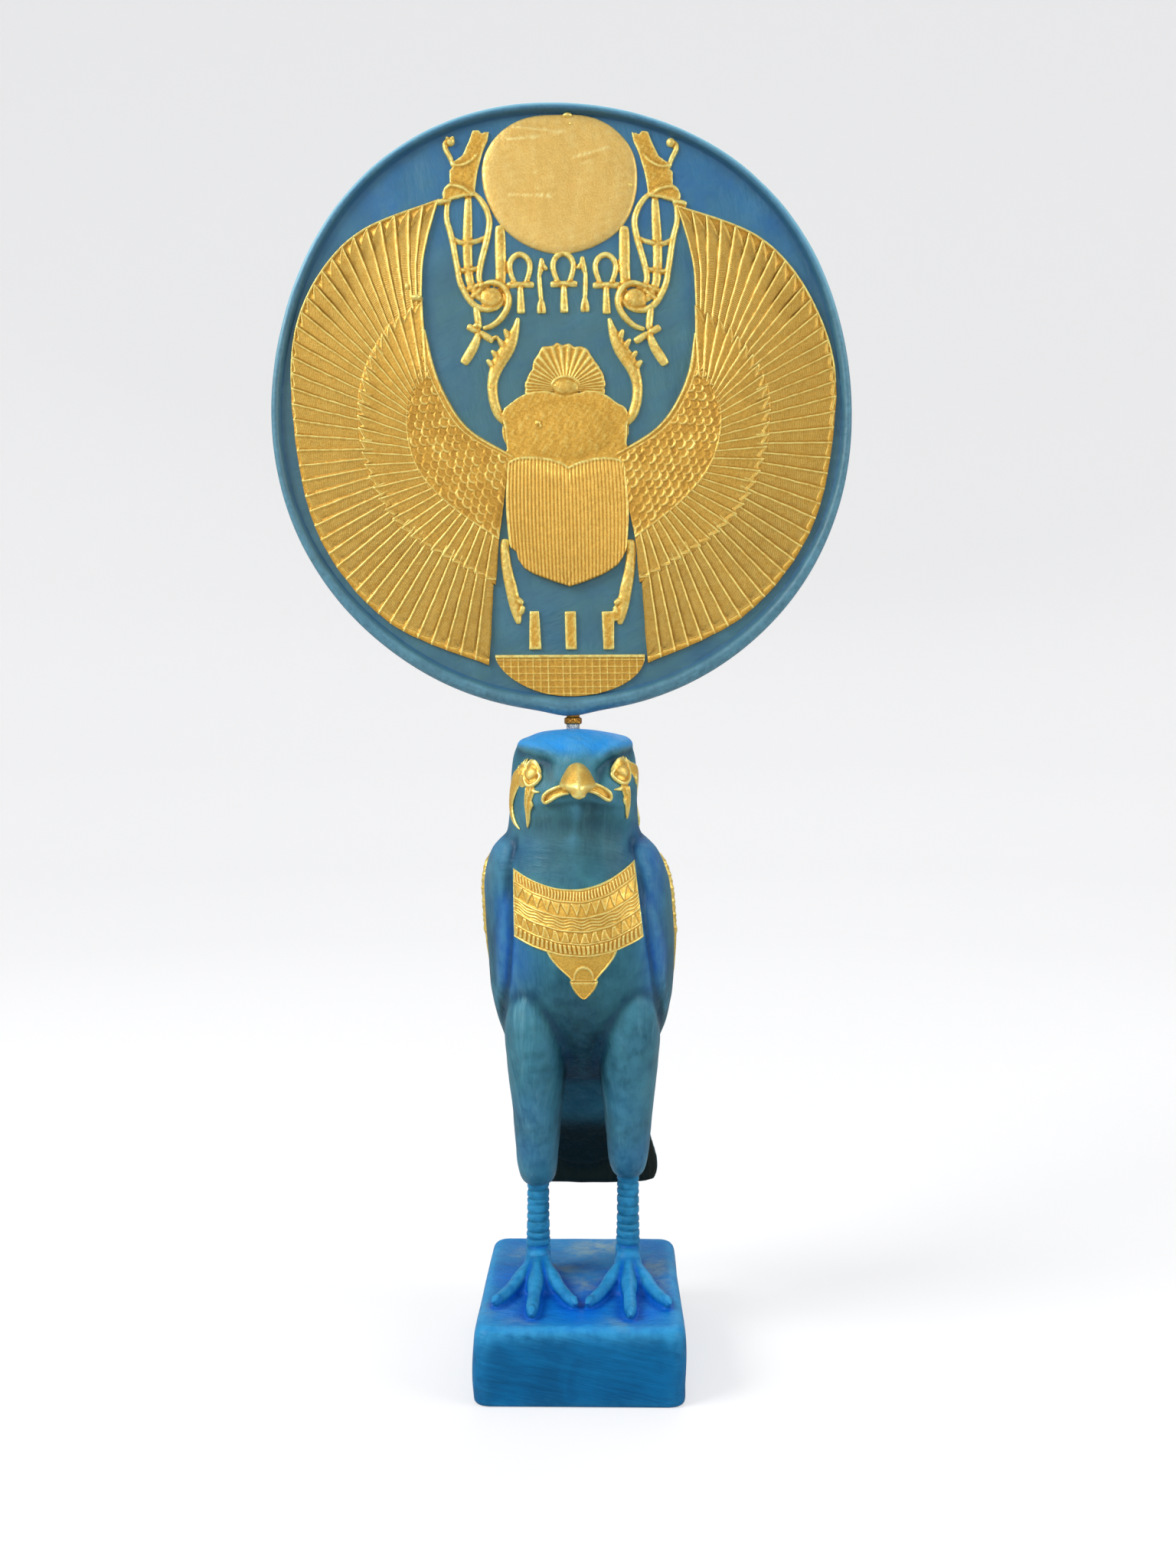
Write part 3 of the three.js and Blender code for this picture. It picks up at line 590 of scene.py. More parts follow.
MANTLE_EDGE = [
    [-11, 212], [-19, 198], [-22, 182], [-21, 160], [-16, 142], [-8, 127], [4, 113],
    [16, 99], [28, 84], [37, 72], [45, 56],
]
THIGH = [
    [147, 0, -20, -20], [144, 8, -24.2, -4], [137, 12, -25.4, 8], [128, 12.8, -25, 13], [114, 11.8, -22, 14],
    [98, 10, -17.5, 12.5], [85, 8.9, -13.5, 12], [77, 8.2, -10.5, 12], [71, 6.9, -6.5, 11.5],
    [68, 4.6, -1.5, 9.5], [67.2, 0, 4.5, 4.5],
]
# How far lower than the table each thigh ends.
THIGH_DROP = {-1: 4.0, 1: 0.8}
TAIL = [
    [128, 0, 34, 34], [122, 19, 30, 38], [104, 21, 35, 43], [88, 23, 39.5, 47],
    [72, 26.2, 43, 50.5], [61, 29.2, 45, 52.5], [55, 29, 46, 53], [51, 25, 46.6, 53],
    [50, 0, 50, 50],
]
LEG_X = {-1: 0.5 - 18.2, 1: 0.5 + 18.2}
LEG_BACK = 5
TAIL_X = 3
HEAD_TURN = radians(4.5)
HEAD_LEAN = -3.4
# The size of the cubes that a cast is built from: smaller keeps finer forms and makes more faces.
BIRD_GRAIN = 0.88
PLINTH_GRAIN = 0.7
FACE_GRAIN = 0.3
BEAK_GRAIN = 0.4
SIGN_GRAIN = 0.37


def head_squareness(z):
    """The head's sections are a little squarer than the body's."""
    return mix(2.0, 2.3, smooth(z, 195, 215))


def posed(p):
    """The stance: the neck leans and the head is turned a little."""
    turn = HEAD_TURN * smooth(p[:, 2], 198, 214)
    lean = HEAD_LEAN * smooth(p[:, 2], 150, 215)
    x = p[:, 0] * np.cos(turn) - p[:, 1] * np.sin(turn) + lean
    y = p[:, 0] * np.sin(turn) + p[:, 1] * np.cos(turn)
    return np.stack([x, y, p[:, 2]], 1)


def unposed(p):
    """The same points as drawn, before the stance."""
    turn = HEAD_TURN * smooth(p[:, 2], 198, 214)
    x = p[:, 0] - HEAD_LEAN * smooth(p[:, 2], 150, 215)
    back = p[:, 1] * np.cos(turn) - x * np.sin(turn)
    return np.stack([x * np.cos(turn) + p[:, 1] * np.sin(turn), back, p[:, 2]], 1)


FINE_BODY = between(BODY, np.linspace(0, 1, 2000))[::-1]


def body_section(z):
    """Half width, front and back of the body at each height."""
    return [np.interp(z, FINE_BODY[:, 0], FINE_BODY[:, k]) for k in (1, 2, 3)]


def bearing_of(p):
    """The direction of a point round the head, in degrees from straight ahead."""
    half, front, back = body_section(p[:, 2])
    ahead = -(p[:, 1] - (front + back) / 2) / np.maximum((back - front) / 2, 0.1)
    return np.degrees(np.arctan2(p[:, 0] / np.maximum(half, 0.1), ahead))


print("body rows:", len(BODY), "wing rows:", len(MANTLE))

# %% [markdown]
# The face is carved after fusing. A brow overhangs each eye, the crown runs down to the beak as a wedge,
# and under the jaw the throat steps back to a keel. One function of bearing and height gives the carving,
# so the gold eyes can sit on the same surface.


# %% The carving of the head
def carved(bearing, z):
    """How far the head stands out from its plain sections, in millimetres."""
    side = np.abs(bearing)
    # The brow's lower edge runs down to the beak as a wedge, lower on the right.
    low = np.where(bearing > 0, 232.0, 234.2)
    brow = np.interp(side, [34, 52, 75, 100], [238.2, 240.2, 240.8, 240.4])
    brow = np.where(side < 34, mix(low, 238.2, smooth(side, 10, 36) ** 0.8), brow)
    under = brow - z
    reach = mix(smooth(side, 12, 30), smooth(side, 8, 24), bearing > 0) * (1 - smooth(side, 66, 100))
    ridge = 1.1 * np.exp(-(((under + 1.2) / 1.9) ** 2)) * reach
    socket = -2.5 * smooth(under, -0.4, 2.0) * (1 - smooth(under, 3.5, 15)) * reach
    # The crown's ridge, then the step under the jaw and the keel of the throat.
    crown = 1.2 * np.exp(-((bearing / 12) ** 2)) * smooth(z, 228, 236) * (1 - smooth(z, 240, 246))
    below_jaw = 220.6 - 0.05 * side - z
    throat = -0.9 * smooth(below_jaw, -0.4, 2.2) * (1 - smooth(below_jaw, 7, 18)) * (1 - smooth(side, 26, 52))
    keel = 0.8 * np.exp(-(np.abs(bearing + 1) / 8) ** 1.4) * smooth(z, 196, 207) * (1 - smooth(z, 217, 222))
    cheek = 0.7 * np.exp(-(((side - 40) / 16) ** 2) - ((z - 216) / 7) ** 2)
    temple = 1.1 * np.exp(-(((bearing - 92) / 34) ** 2)) * smooth(z, 222, 237)
    return ridge + socket + crown + throat + keel + cheek + temple


def on_head(side, bearing, z, out):
    """A point that stands out from the carved head, as drawn before the stance."""
    z = np.asarray(z, float)
    half, front, back = body_section(z)
    out = out + carved(side * np.asarray(bearing, float), z)
    angle = np.radians(np.asarray(bearing, float) - 90)
    n = head_squareness(z)
    x = (half + out) * power(np.cos(angle), n)
    y = (front + back) / 2 + ((back - front) / 2 + out) * power(np.sin(angle), n)
    return np.stack(np.broadcast_arrays(side * x, y, z), -1)


print("brow stands", round(float(carved(np.array(40.0), np.array(239.9))), 2), "mm proud at its middle")

# %% Fusing the bird
mantle = stacked(MANTLE, 160, 180)
edge_line = between(MANTLE_EDGE, np.linspace(0, 1, 300))[::-1]


def press_front(p):
    """Presses the front of the wings back to their edge line, which tucks in under the shoulder."""
    edge = np.interp(p[:, 2], edge_line[:, 1], edge_line[:, 0])
    p[:, 1] = np.maximum(p[:, 1], edge)
    return p


move(mantle, press_front)
thighs = []
for side, x in LEG_X.items():
    rows = [[z - THIGH_DROP[side] * float(smooth(-z, -112, -72)), *rest] for z, *rest in THIGH]
    thighs.append(stacked(rows, 72, 120, x))
bird = gathered([stacked(BODY, 160, 220, 0, head_squareness), mantle,
                 stacked(TAIL, 120, 90, TAIL_X, lambda z: 3.0), *thighs])
move(bird, posed)
bird_mesh = cast("falcon", bird, BIRD_GRAIN, 11)
print("fused faces:", len(bird_mesh.polygons))


# %% Carving it
def handwork(p):
    """How far the falcon's skin stands out by hand, in broad swells and smaller ones."""
    return 0.22 * wander(p, 34, 3) + 0.1 * wander(p, 11, 4)


def wing_front(plain):
    """A crease where each folded wing lies against the breast, and the wing's rounded edge beside it."""
    z = plain[:, 2]
    edge = np.interp(z, [122, 134, 149, 165, 193, 207], [34.5, 31.5, 28.6, 26.8, 25.2, 22.0])
    beyond = np.abs(plain[:, 0]) - edge
    crease = -1.2 * np.exp(-np.abs(beyond / 1.5) ** 1.6)
    shoulder = 0.9 * smooth(beyond, 0.4, 3) * (1 - smooth(beyond, 5, 11))
    return (crease + shoulder) * smooth(z, 118, 130) * (1 - smooth(z, 200, 209)) * (1 - smooth(plain[:, 1], -6, 4))


def carve_bird(p):
    """Carves the head and the breast, and gives the whole skin the slight unevenness of handwork."""
    plain = unposed(p)
    bearing = bearing_of(plain)
    amount = carved(bearing, p[:, 2]) * smooth(p[:, 2], 194, 199) * (1 - smooth(p[:, 2], 243, 247))
    amount = amount + wing_front(plain)
    uneven = handwork(p)
    return p + normals_of(bird_mesh) * (amount + uneven)[:, None]


reshape(bird_mesh, carve_bird)
print("falcon carved:", len(bird_mesh.vertices), "vertices")


# %% Patches of colour on the falcon
def patch(p, spots):
    """The sum of soft round patches, each given as x, y, z, radius, strength."""
    total = np.zeros(len(p))
    for x, y, z, radius, strength in spots:
        far = ((p - np.array([x, y, z])) ** 2).sum(1) / radius**2
        total += strength * np.exp(-far)
    return np.clip(total, 0, 1)


# Where the painter changed colour, and where patches stand in for shade and sheen: x, y, z, radius and strength of
# each soft patch.
STRONG_BLUE = [
    [-34, -10, 200, 11, 0.8], [31, -14, 200, 12, 1], [31, -22, 182, 10, 1], [32, -22, 165, 9, 0.9],
    [-27, -26, 158, 11, 0.8], [30, -18, 148, 8, 0.5], [-20, -22, 205, 9, 0.5], [-36, 0, 185, 9, 0.4],
    [-29, -20, 178, 8, 0.9], [-30, -20, 165, 7, 0.8], [-31, -18, 150, 7, 0.7], [31, -18, 158, 7, 0.8],
    [18, -15, 100, 8, 0.25], [-20, -16, 98, 8, 0.3], [22, -10, 78, 9, 0.4], [-20, -10, 80, 8, 0.4],
    [-25, 8, 225, 10, 0.7], [25, 8, 225, 10, 0.5], [0, 34, 170, 26, 0.5], [20, 44, 110, 18, 0.4],
]
# Grey-teal paint; the patches on the left cheek and left shoulder also stand in for sheen, as painted highlight.
GREY_AND_SHEEN = [
    [-16, -24, 212, 12, 0.7], [14, -26, 212, 12, 0.15], [-2, -30, 200, 13, 0.35], [-16, -26, 228, 9, 0.7],
    [-18, -14, 240, 8, 0.6], [20, -14, 241, 7, 0.7], [16, -24, 228, 8, 0.35], [-22, -12, 205, 9, 0.5],
    [0, 30, 140, 18, 0.3], [-34, -10, 193, 9, 0.7], [36, -4, 172, 12, 0.35],
]
# Dark teal paint on the wings' sides, and painted shade on the belly, between the thighs and on the right of the
# throat's keel.
DEEP_TEAL_AND_SHADE = [
    [-41, -2, 192, 12, 0.6], [-42, 2, 166, 16, 0.9], [-38, 4, 138, 16, 0.8], [40, 0, 184, 10, 0.4],
    [42, 2, 160, 15, 0.8], [38, 4, 134, 15, 0.8], [0, -22, 140, 13, 0.8], [2, -18, 124, 10, 0.9],
    [-24, -12, 92, 10, 0.4], [24, -12, 92, 8, 0.4], [-10, -6, 90, 8, 0.7], [10, -6, 90, 8, 0.7],
    [0, -10, 112, 12, 1], [0, 2, 106, 10, 1], [-3, -30, 206, 12, 0.35], [14, -28, 206, 11, 0.45],
    [4, -31, 218, 4.5, 0.7], [4, -31, 212, 5, 0.7], [3, -31, 206, 4, 0.5],
]
# Dry-brushed paler strokes; the patches on the left belly, the right shoulder and the left cheek also stand in for
# sheen, as painted highlight.
DRY_BRUSH_AND_SHEEN = [
    [-25, -24, 138, 9, 1], [24, -24, 134, 9, 0.6], [32, -16, 175, 12, 0.25], [-34, -12, 180, 12, 0.2],
    [-22, -16, 118, 8, 0.6], [-20, -14, 96, 14, 0.5], [20, -14, 94, 14, 0.6],
    [0, -30, 215, 18, 0.25], [0, 40, 120, 40, 0.4],
    [-34, 20, 130, 26, 0.4], [34, 20, 130, 26, 0.4], [34, -12, 192, 9, 0.7], [-24, -20, 229, 5, 0.8],
]
print("patches:", len(STRONG_BLUE) + len(GREY_AND_SHEEN) + len(DEEP_TEAL_AND_SHADE) + len(DRY_BRUSH_AND_SHEEN))


# %% The falcon's marks, and its piece
def paint_marks(mesh):
    """Where each blue of the falcon lies, and its painted shade and sheen, from its place and its form."""
    p = points_of(mesh)
    plain = unposed(p)
    bearing = bearing_of(plain)
    z = p[:, 2]
    side = np.abs(bearing)
    low = np.where(bearing > 0, 231.5, 234.0)
    brow = np.where(side < 34, mix(low, 238.6, smooth(side, 6, 36)), 238.6 + 0.04 * (side - 34))
    mark(mesh, "crown", smooth(z - brow, -0.8, 2.4) * smooth(z, 234.5, 241))
    mark(mesh, "strong", patch(p, STRONG_BLUE))
    mark(mesh, "grey", patch(p, GREY_AND_SHEEN))
    mark(mesh, "dry", patch(p, DRY_BRUSH_AND_SHEEN))
    # deep: dark teal paint, and painted shade in the creases and beside the throat's keel.
    mark(mesh, "deep", patch(p, DEEP_TEAL_AND_SHADE))
    between_legs = smooth(p[:, 1], 22, 34) * (1 - smooth(z, 112, 122)) * smooth(-normals_of(mesh)[:, 1], 0.1, 0.5)
    mark(mesh, "shade", np.clip(between_legs, 0, 1))
    mark(mesh, "rings", 0.7 * smooth(z, 186, 193) * (1 - smooth(z, 202, 210)))
    mark(mesh, "hollow", hollows(mesh, 24, 0.5))


paint_marks(bird_mesh)
piece("falcon", bird_mesh, body_paint, "falcon")

# %% [markdown]
# ## Plinth and feet
# The plinth is a block with its corners and edges rolled over. Each foot is four tapering toes that spring from one
# ankle, with a leaf-shaped claw on each front toe. Fusing them with the block gives the soft fillet of the casting.

# %% Rounded block
plinth_box = (79.4, 101.6, PLINTH_TOP - UNDERSIDE)
block = bmesh.new()
bmesh.ops.create_cube(block, size=1)
bmesh.ops.scale(block, vec=plinth_box, verts=block.verts)
bmesh.ops.translate(block, vec=(0, 0, UNDERSIDE + plinth_box[2] / 2), verts=block.verts)
upright = [e for e in block.edges if abs((e.verts[0].co - e.verts[1].co).z) > 1]
bmesh.ops.bevel(block, geom=upright, offset=6, segments=8, profile=0.5, affect="EDGES", material=-1)
level = [e for e in block.edges if abs((e.verts[0].co - e.verts[1].co).z) < 0.01]
upper = [e for e in level if e.verts[0].co.z > 0]
bmesh.ops.bevel(block, geom=upper, offset=3.4, segments=6, profile=0.5, affect="EDGES", material=-1)
lower = [e for e in block.edges if max(v.co.z for v in e.verts) < UNDERSIDE + 0.01]
bmesh.ops.bevel(block, geom=lower, offset=0.9, segments=3, profile=0.5, affect="EDGES", material=-1)
print("block faces:", len(block.faces))


# %% Feet
def toe(x, end, width):
    """A toe from the ankle to its end, with two soft knuckles."""
    line = [[x, LEG_BACK - 1, 36], [mix(x, end[0], 0.3), mix(LEG_BACK, end[1], 0.3), 30.4],
            [mix(x, end[0], 0.66), mix(LEG_BACK, end[1], 0.66), 28.2], end]

    def size(share):
        knuckle = 0.28 * np.cos(2 * pi * 2.4 * share)
        return mix(3.9, width, share ** 0.6) + knuckle, mix(4.0, 2.6, share ** 0.7) + knuckle

    return limb(line, size, 24, 50, 0.3)


def claw(x, end):
    """A leaf-shaped claw lying on the end of a toe."""
    along = np.array([end[0] - x, end[1] - LEG_BACK, 0])
    along /= np.linalg.norm(along)
    end = np.array(end)
    line = [end - along * 6.2 + [0, 0, 2.0], end - along * 2.5 + [0, 0, 2.5], end + along * 1.6 + [0, 0, 0.9]]
    return limb(line, lambda share: (1.55 * np.sin(pi * share ** 1.3) ** 0.8 + 0.1, 0.9 + 0 * share), 16, 20, 0.4)


feet = [block]
for side, x in LEG_X.items():
    ends = [([x + side * 15.4, -31, 27.4], 2.5), ([x + side * 0.4, -42, 27.4], 2.5),
            ([x - side * 16.0, -31.5, 27.2], 2.3)]
    for end, width in ends:
        feet += [toe(x, end, width), claw(x, end)]
    feet.append(toe(x, [x + side * 3, 21, 27.0], 2.3))
    feet.append(limb([[x, 3, 38], [x, 0, 32.5], [x, -7, 27.2]],
                     lambda share: (mix(4.4, 7.2, share), 4.2 + 0 * share)))
    feet.append(limb([[x, 4, 28], [x, -6, 27.4], [x, -18, 25.6]],
                     lambda share: (mix(7.5, 13, share), 2.6 + 0 * share)))
    shank = [[71, 0, LEG_BACK, LEG_BACK]]
    for z in np.linspace(70.5, PLINTH_TOP, 30):
        radius = 4.2 + 1.9 * (1 - (z - PLINTH_TOP) / 45) ** 4
        shank.append([z, radius, LEG_BACK - radius, LEG_BACK + radius])
    feet.append(stacked(shank + [[25, 0, LEG_BACK, LEG_BACK]], 40, 90, x))
plinth_mesh = cast("plinth", gathered(feet), PLINTH_GRAIN, 4)
print("plinth and feet fused:", len(plinth_mesh.polygons))


# %% Rings on the shanks, and the block's hand-made sides
RING_PITCH = 3.3


def finish_plinth(p):
    """Cuts the rings of the shanks, and bows the block's sides and makes them slightly uneven."""
    z = p[:, 2]
    for side, x in LEG_X.items():
        away = np.hypot(p[:, 0] - x, p[:, 1] - LEG_BACK)
        on = (1 - smooth(away, 7, 9)) * smooth(z, 34.5, 36.5)
        tilt = 0.05 * (p[:, 0] - x) * side + 0.25 * np.sin(z * 0.9 + side)
        phase = (z + tilt - 35.2 + 0.5 * np.sin(z * 0.37 + 2 * side)) / RING_PITCH
        groove = np.exp(-((np.abs(phase - np.round(phase)) * RING_PITCH / 0.45) ** 2))
        grow = 1 + on * (0.3 - 0.55 * groove) / np.maximum(away, 1)
        p[:, 0] = x + (p[:, 0] - x) * grow
        p[:, 1] = LEG_BACK + (p[:, 1] - LEG_BACK) * grow
    low = 1 - smooth(z, PLINTH_TOP, PLINTH_TOP + 2)
    bow = 1 - low * 0.016 * np.abs((z - 9.5) / 14.5) ** 2
    uneven = 0.3 * low * smooth(z, -2, 5)
    p[:, 0] = p[:, 0] * bow + uneven * wander(p, 38, 21)
    p[:, 1] = p[:, 1] * bow + uneven * wander(p, 38, 22)
    p[:, 2] = np.maximum(z + 0.22 * low * smooth(z, 10, 20) * wander(p, 30, 23), UNDERSIDE)
    return p


reshape(plinth_mesh, finish_plinth)
facing = normals_of(plinth_mesh)
spots = points_of(plinth_mesh)
# Where the plinth faces up, its deck is painted a lighter blue: partly its own paint, partly painted light from above.
mark(plinth_mesh, "top", smooth(facing[:, 2], 0.35, 0.9) * (1 - smooth(spots[:, 2], 27.2, 28.6)))
mark(plinth_mesh, "toes", smooth(spots[:, 2], 26.6, 28.4))
mark(plinth_mesh, "shank", smooth(spots[:, 2], 36, 46))
# How strong the painted highlight on the plinth's rounded edges is, strongest near the top.
mark(plinth_mesh, "highlight_reach", mix(0.3, 1, smooth(spots[:, 2], 15, 22)))
mark(plinth_mesh, "hollow", hollows(plinth_mesh, 26, 0.55))
bright = [[0, -28, 27, 11, 1], [-24, -34, 27, 9, 0.8], [24, -34, 27, 9, 0.9], [-10, -12, 27, 9, 0.8],
          [10, -12, 27, 8, 0.6], [-30, 2, 27, 9, 0.7], [0, -42, 27, 12, 0.6]]
mark(plinth_mesh, "strong", patch(spots, bright))
smudge = [[2, 34, 27, 10, 0.9], [-8, 12, 27, 8, 0.7], [26, -8, 27, 9, 0.9], [30, 14, 27, 10, 0.9],
          [-26, 28, 27, 9, 0.5], [4, -6, 27, 9, 0.8], [-34, -30, 27, 7, 0.5], [12, 40, 27, 9, 0.6],
          [-22, -44, 26, 6, 0.5], [16, -44, 26, 7, 0.4]]
mark(plinth_mesh, "smudge", patch(spots, smudge))

# %% Plinth paint
plinth_paint, tree, shader = new_material("plinth_paint", seen(0, 105, 165), 0.4)
shader.inputs["Specular IOR Level"].default_value = 0.16
sweeps = placed(tree, brush, Scale=480.0, Stretch=(0.12, 0.6, 1.0), Turn=(0.0, radians(-12), 0.0)).outputs[0]
fine_streaks = placed(tree, brush, Scale=900.0, Stretch=(0.5, 1.0, 0.4)).outputs[0]
patches = placed(tree, cloud, Scale=45.0, Low=0.4, High=0.62).outputs[0]
small = placed(tree, cloud, Scale=160.0, Low=0.35, High=0.7).outputs[0]
relief_wear_and_light = placed(tree, relief, Crest=1.2, Hollow=1.3, Break=220.0)
top = attribute(tree, "top")
pale = maths(tree, "MULTIPLY", attribute(tree, "smudge"), ranged(tree, small, 0.1, 0.8, 0.15, 0.95))
# The deck's lighter blue is partly its own paint and partly painted light on the upward face.
deck_and_top_light = layered(tree, mixed(tree, patches, seen(10, 116, 190), seen(30, 134, 196)), [
    ("strong", 0.85, seen(0, 112, 222)), (pale, 1.0, seen(134, 166, 176))])
leg = layered(tree, seen(20, 118, 186), [("shank", 1.0, seen(20, 98, 136)), (small, 0.6, seen(18, 100, 132))])
# A painted highlight along the plinth's rounded edges, brightest at the top edge.
painted_edge_highlight = maths(tree, "MULTIPLY", relief_wear_and_light.outputs["Crests"], attribute(tree, "highlight_reach"))
colour = layered(tree, mixed(tree, patches, seen(0, 90, 142), seen(0, 106, 164)), [
    (ranged(tree, sweeps, 0.5, 0.68), 0.35, seen(8, 130, 190)), (top, 1.0, deck_and_top_light), ("toes", 1.0, leg),
    (relief_wear_and_light.outputs["Hollows"], 0.8, seen(0, 92, 196)), (painted_edge_highlight, 0.6, seen(62, 168, 222)),
])
brushed(tree, shader, colour, either(tree, top, sweeps, fine_streaks), (0.34, 0.52), 0.0014)
piece("plinth", plinth_mesh, plinth_paint, "falcon")

# %% [markdown]
# ## Gold on the face
# The beak, the eyes and the marks below and behind them are raised and gilded. Each is a small limb laid on the carved
# head, placed by bearing and height, and all are fused in one cast so that the parts of a mark flow into one another.


# %% Laying a limb on the head
def on_face(side, spots, wide, high, out, roundness=0.3, along=30):
    """A flat limb on the head through spots of bearing and height, with half widths and half heights along it. It is
    lifted off the skin by out."""
    bearing, z = np.array(spots, float).T
    points = on_head(side, bearing, z, out)
    ways = np.stack([side * np.sin(np.radians(bearing)), -np.cos(np.radians(bearing)), 0 * z], 1)

    def size(share):
        return between(rows_of(wide), share)[:, 0], between(rows_of(high), share)[:, 0]

    return limb(points, size, 14, along, roundness, ways)


print("a limb can be laid on the head")

# %% The marks of the face
# Spots of the marks on the left, each a bearing from straight ahead and a height.
EYE_RIM = [(50, 234.2), (47, 234.9), (42.5, 234.4), (38.5, 232.6), (35, 230.6), (32.2, 228.8), (33.8, 227.1),
           (37.6, 225.8), (42, 225.3), (46, 226.1), (49.4, 228.0), (51.4, 230.8), (51.2, 233.2), (49, 234.7)]
SWEEP = [(58, 232.6), (64, 228.5), (72, 223), (76, 218), (70, 213.6), (61, 210.6), (51, 208.2)]
SWEEP_WIDTH = [3.4, 4.4, 3.4, 2.4, 1.6, 1.1, 0.45]
DROP = [(42.4, 226), (41.4, 223.6), (42.8, 219.9), (42.2, 218.2), (42.8, 215.5), (42.2, 211.5), (41.9, 208.9)]
DROP_WIDTH = [2.6, 2.8, 2.0, 2.3, 1.5, 1.1, 0.4]
FRINGE = [((57, 232), (54.5, 236.0)), ((61, 231.5), (59, 235.6)), ((64, 230.5), (63.5, 234.6)),
          ((68, 229), (68.5, 233.4)), ((71, 227), (73, 231.2)), ((74, 225), (77, 229))]
GAPE = [(5, 226.8), (9, 225.8), (14, 224.9), (19, 224.0), (23.5, 222.8), (26.3, 221.4), (26.6, 219.8), (24.5, 219.0),
        (20.5, 219.8), (15, 221.4), (9, 222.4), (5, 222.6)]


def face_side(side):
    """One side's marks. The right eye is modelled wider and higher, its drop shorter and its sweep further back."""
    right = side > 0
    lift, wider, back, shorter = (0.9, 1.3, 25, 0.8) if right else (0.0, 1.0, 0, 1.0)

    def up(spots):
        return [(31 + (b - 32) * wider if b > 31.5 and right else b, z + lift) for b, z in spots]

    def behind(spots):
        return [(b + back * float(smooth(-z, -233, -224)), z + lift) for b, z in spots]

    def below(spots):
        return [(b + 0.16 * back, 226 + (z - 226) * shorter) for b, z in spots]

    marks = [
        # The eye: two fillings, the rim round them and the pupil.
        (up, [(32.5, 229.2), (42, 230.2), (51, 231)], [2.4, 5.2, 4.2], 1.0, 0.05),
        (up, [(36, 228.0), (42.5, 226.9), (49, 229.0)], [1.2, 1.6, 1.4], 0.85, 0.1),
        (up, EYE_RIM, 0.78, 0.8, 0.75, 0.15, 90),
        (up, [(43.4, 227.5), (43, 230.2), (43, 233.1)], [2.1, 3.1, 2.0], 1.7, 0.6, 0.5),
        # The sweep behind it.
        (behind, [(47, 226.4), (53, 226.8), (60, 227.6)], [1.6, 2.4, 2.4], 0.7, 0.2),
        (behind, SWEEP, SWEEP_WIDTH, 0.75, 0.25, 0.3, 60),
        # The drop below it, with three ridges, and two spurs in front.
        (below, DROP, DROP_WIDTH, 0.8, 0.3, 0.3, 50),
        (below, [(45.2, 225), (44.8, 220), (43.6, 214)], [0.45, 0.5, 0.3], 0.5, 0.95),
        (below, [(42.4, 225), (42.4, 219), (42.2, 212)], [0.45, 0.5, 0.3], 0.5, 0.95),
        (below, [(39.6, 225), (40.4, 221)], [0.4, 0.3], 0.5, 0.95),
        (up, [(42, 224.4), (37, 223.2), (30.2, 223.0)], [1.1, 0.8, 0.25], 0.75, 0.2),
        (below, [(42, 219.0), (38.6, 218.2), (36.6, 218.2)], [1.1, 0.8, 0.3], 0.7, 0.2),
        # The side of the mouth: its edge and its filling.
        (up, GAPE, 0.78, 0.9, 0.55, 0.15, 70),
        (up, [(5, 224.4), (13, 223.2), (25, 220.6)], [2.4, 1.6, 1.1], 0.7, 0.0),
    ]
    marks += [(behind, line, [0.9, 0.3], 0.6, 0.2, 0.3, 14) for line in FRINGE]
    return [on_face(side, shift(spots), *how) for shift, spots, *how in marks]


face = gathered(face_side(-1) + face_side(1))
move(face, posed)
gilded("face_gold", cast("face_gold", face, FACE_GRAIN, 2), 10, 0.22)

# %% Beak
BEAK = [
    [234.5, 0, -27, -27], [233.9, 2.8, -31, -22], [232.0, 4.3, -35.4, -21], [229.4, 5.6, -38.4, -21],
    [227.2, 6.6, -40.4, -22], [225.4, 6.9, -41.6, -24], [224.0, 5.0, -42.0, -27], [222.6, 3.1, -42.0, -32],
    [221.4, 2.2, -41.6, -37], [220.4, 0, -40.6, -40.6],
]
beak = stacked(BEAK, 90, 70, 0, lambda z: mix(1.6, 1.45, smooth(z, 221.5, 227)))
move(beak, posed)
beak_mesh = cast("beak", beak, BEAK_GRAIN, 3)
reshape(beak_mesh, lambda p: p + 0.12 * wander(p, 7, 31)[:, None] * normals_of(beak_mesh))
gilded("beak", beak_mesh, 16, 0.4)

# %% [markdown]
# ## Collar and pendant
# The broad collar is one thin sheet that follows the chest. Its bands are bars, ridges, triangles, waves, teeth and
# beads, so a fine grid is lifted by a height for each place, and its edge is pulled down into the chest.


# %% A sheet with its edge turned in
def sheet(columns, rows):
    """A flat grid from 0 to 1 both ways, as a bmesh."""
    form = bmesh.new()
    bmesh.ops.create_grid(form, x_segments=columns, y_segments=rows, size=0.5)
    bmesh.ops.translate(form, vec=(0.5, 0.5, 0), verts=form.verts)
    return form


def closed_sheet(name, form, shape, sink):
    """Bends a flat sheet by shape(s, t) to x, y, z, then turns its edge in by sink and closes the back."""
    move(form, lambda flat: shape(flat[:, 0], flat[:, 1]))
    rim = [e for e in form.edges if e.is_boundary]
    turned_in = bmesh.ops.extrude_edge_only(form, edges=rim)["geom"]
    walls = [v for v in turned_in if isinstance(v, bmesh.types.BMVert)]
    bmesh.ops.translate(form, vec=sink, verts=walls)
    bmesh.ops.holes_fill(form, edges=[e for e in form.edges if e.is_boundary], sides=0)
    bmesh.ops.recalc_face_normals(form, faces=form.faces)
    return meshed(name, form)


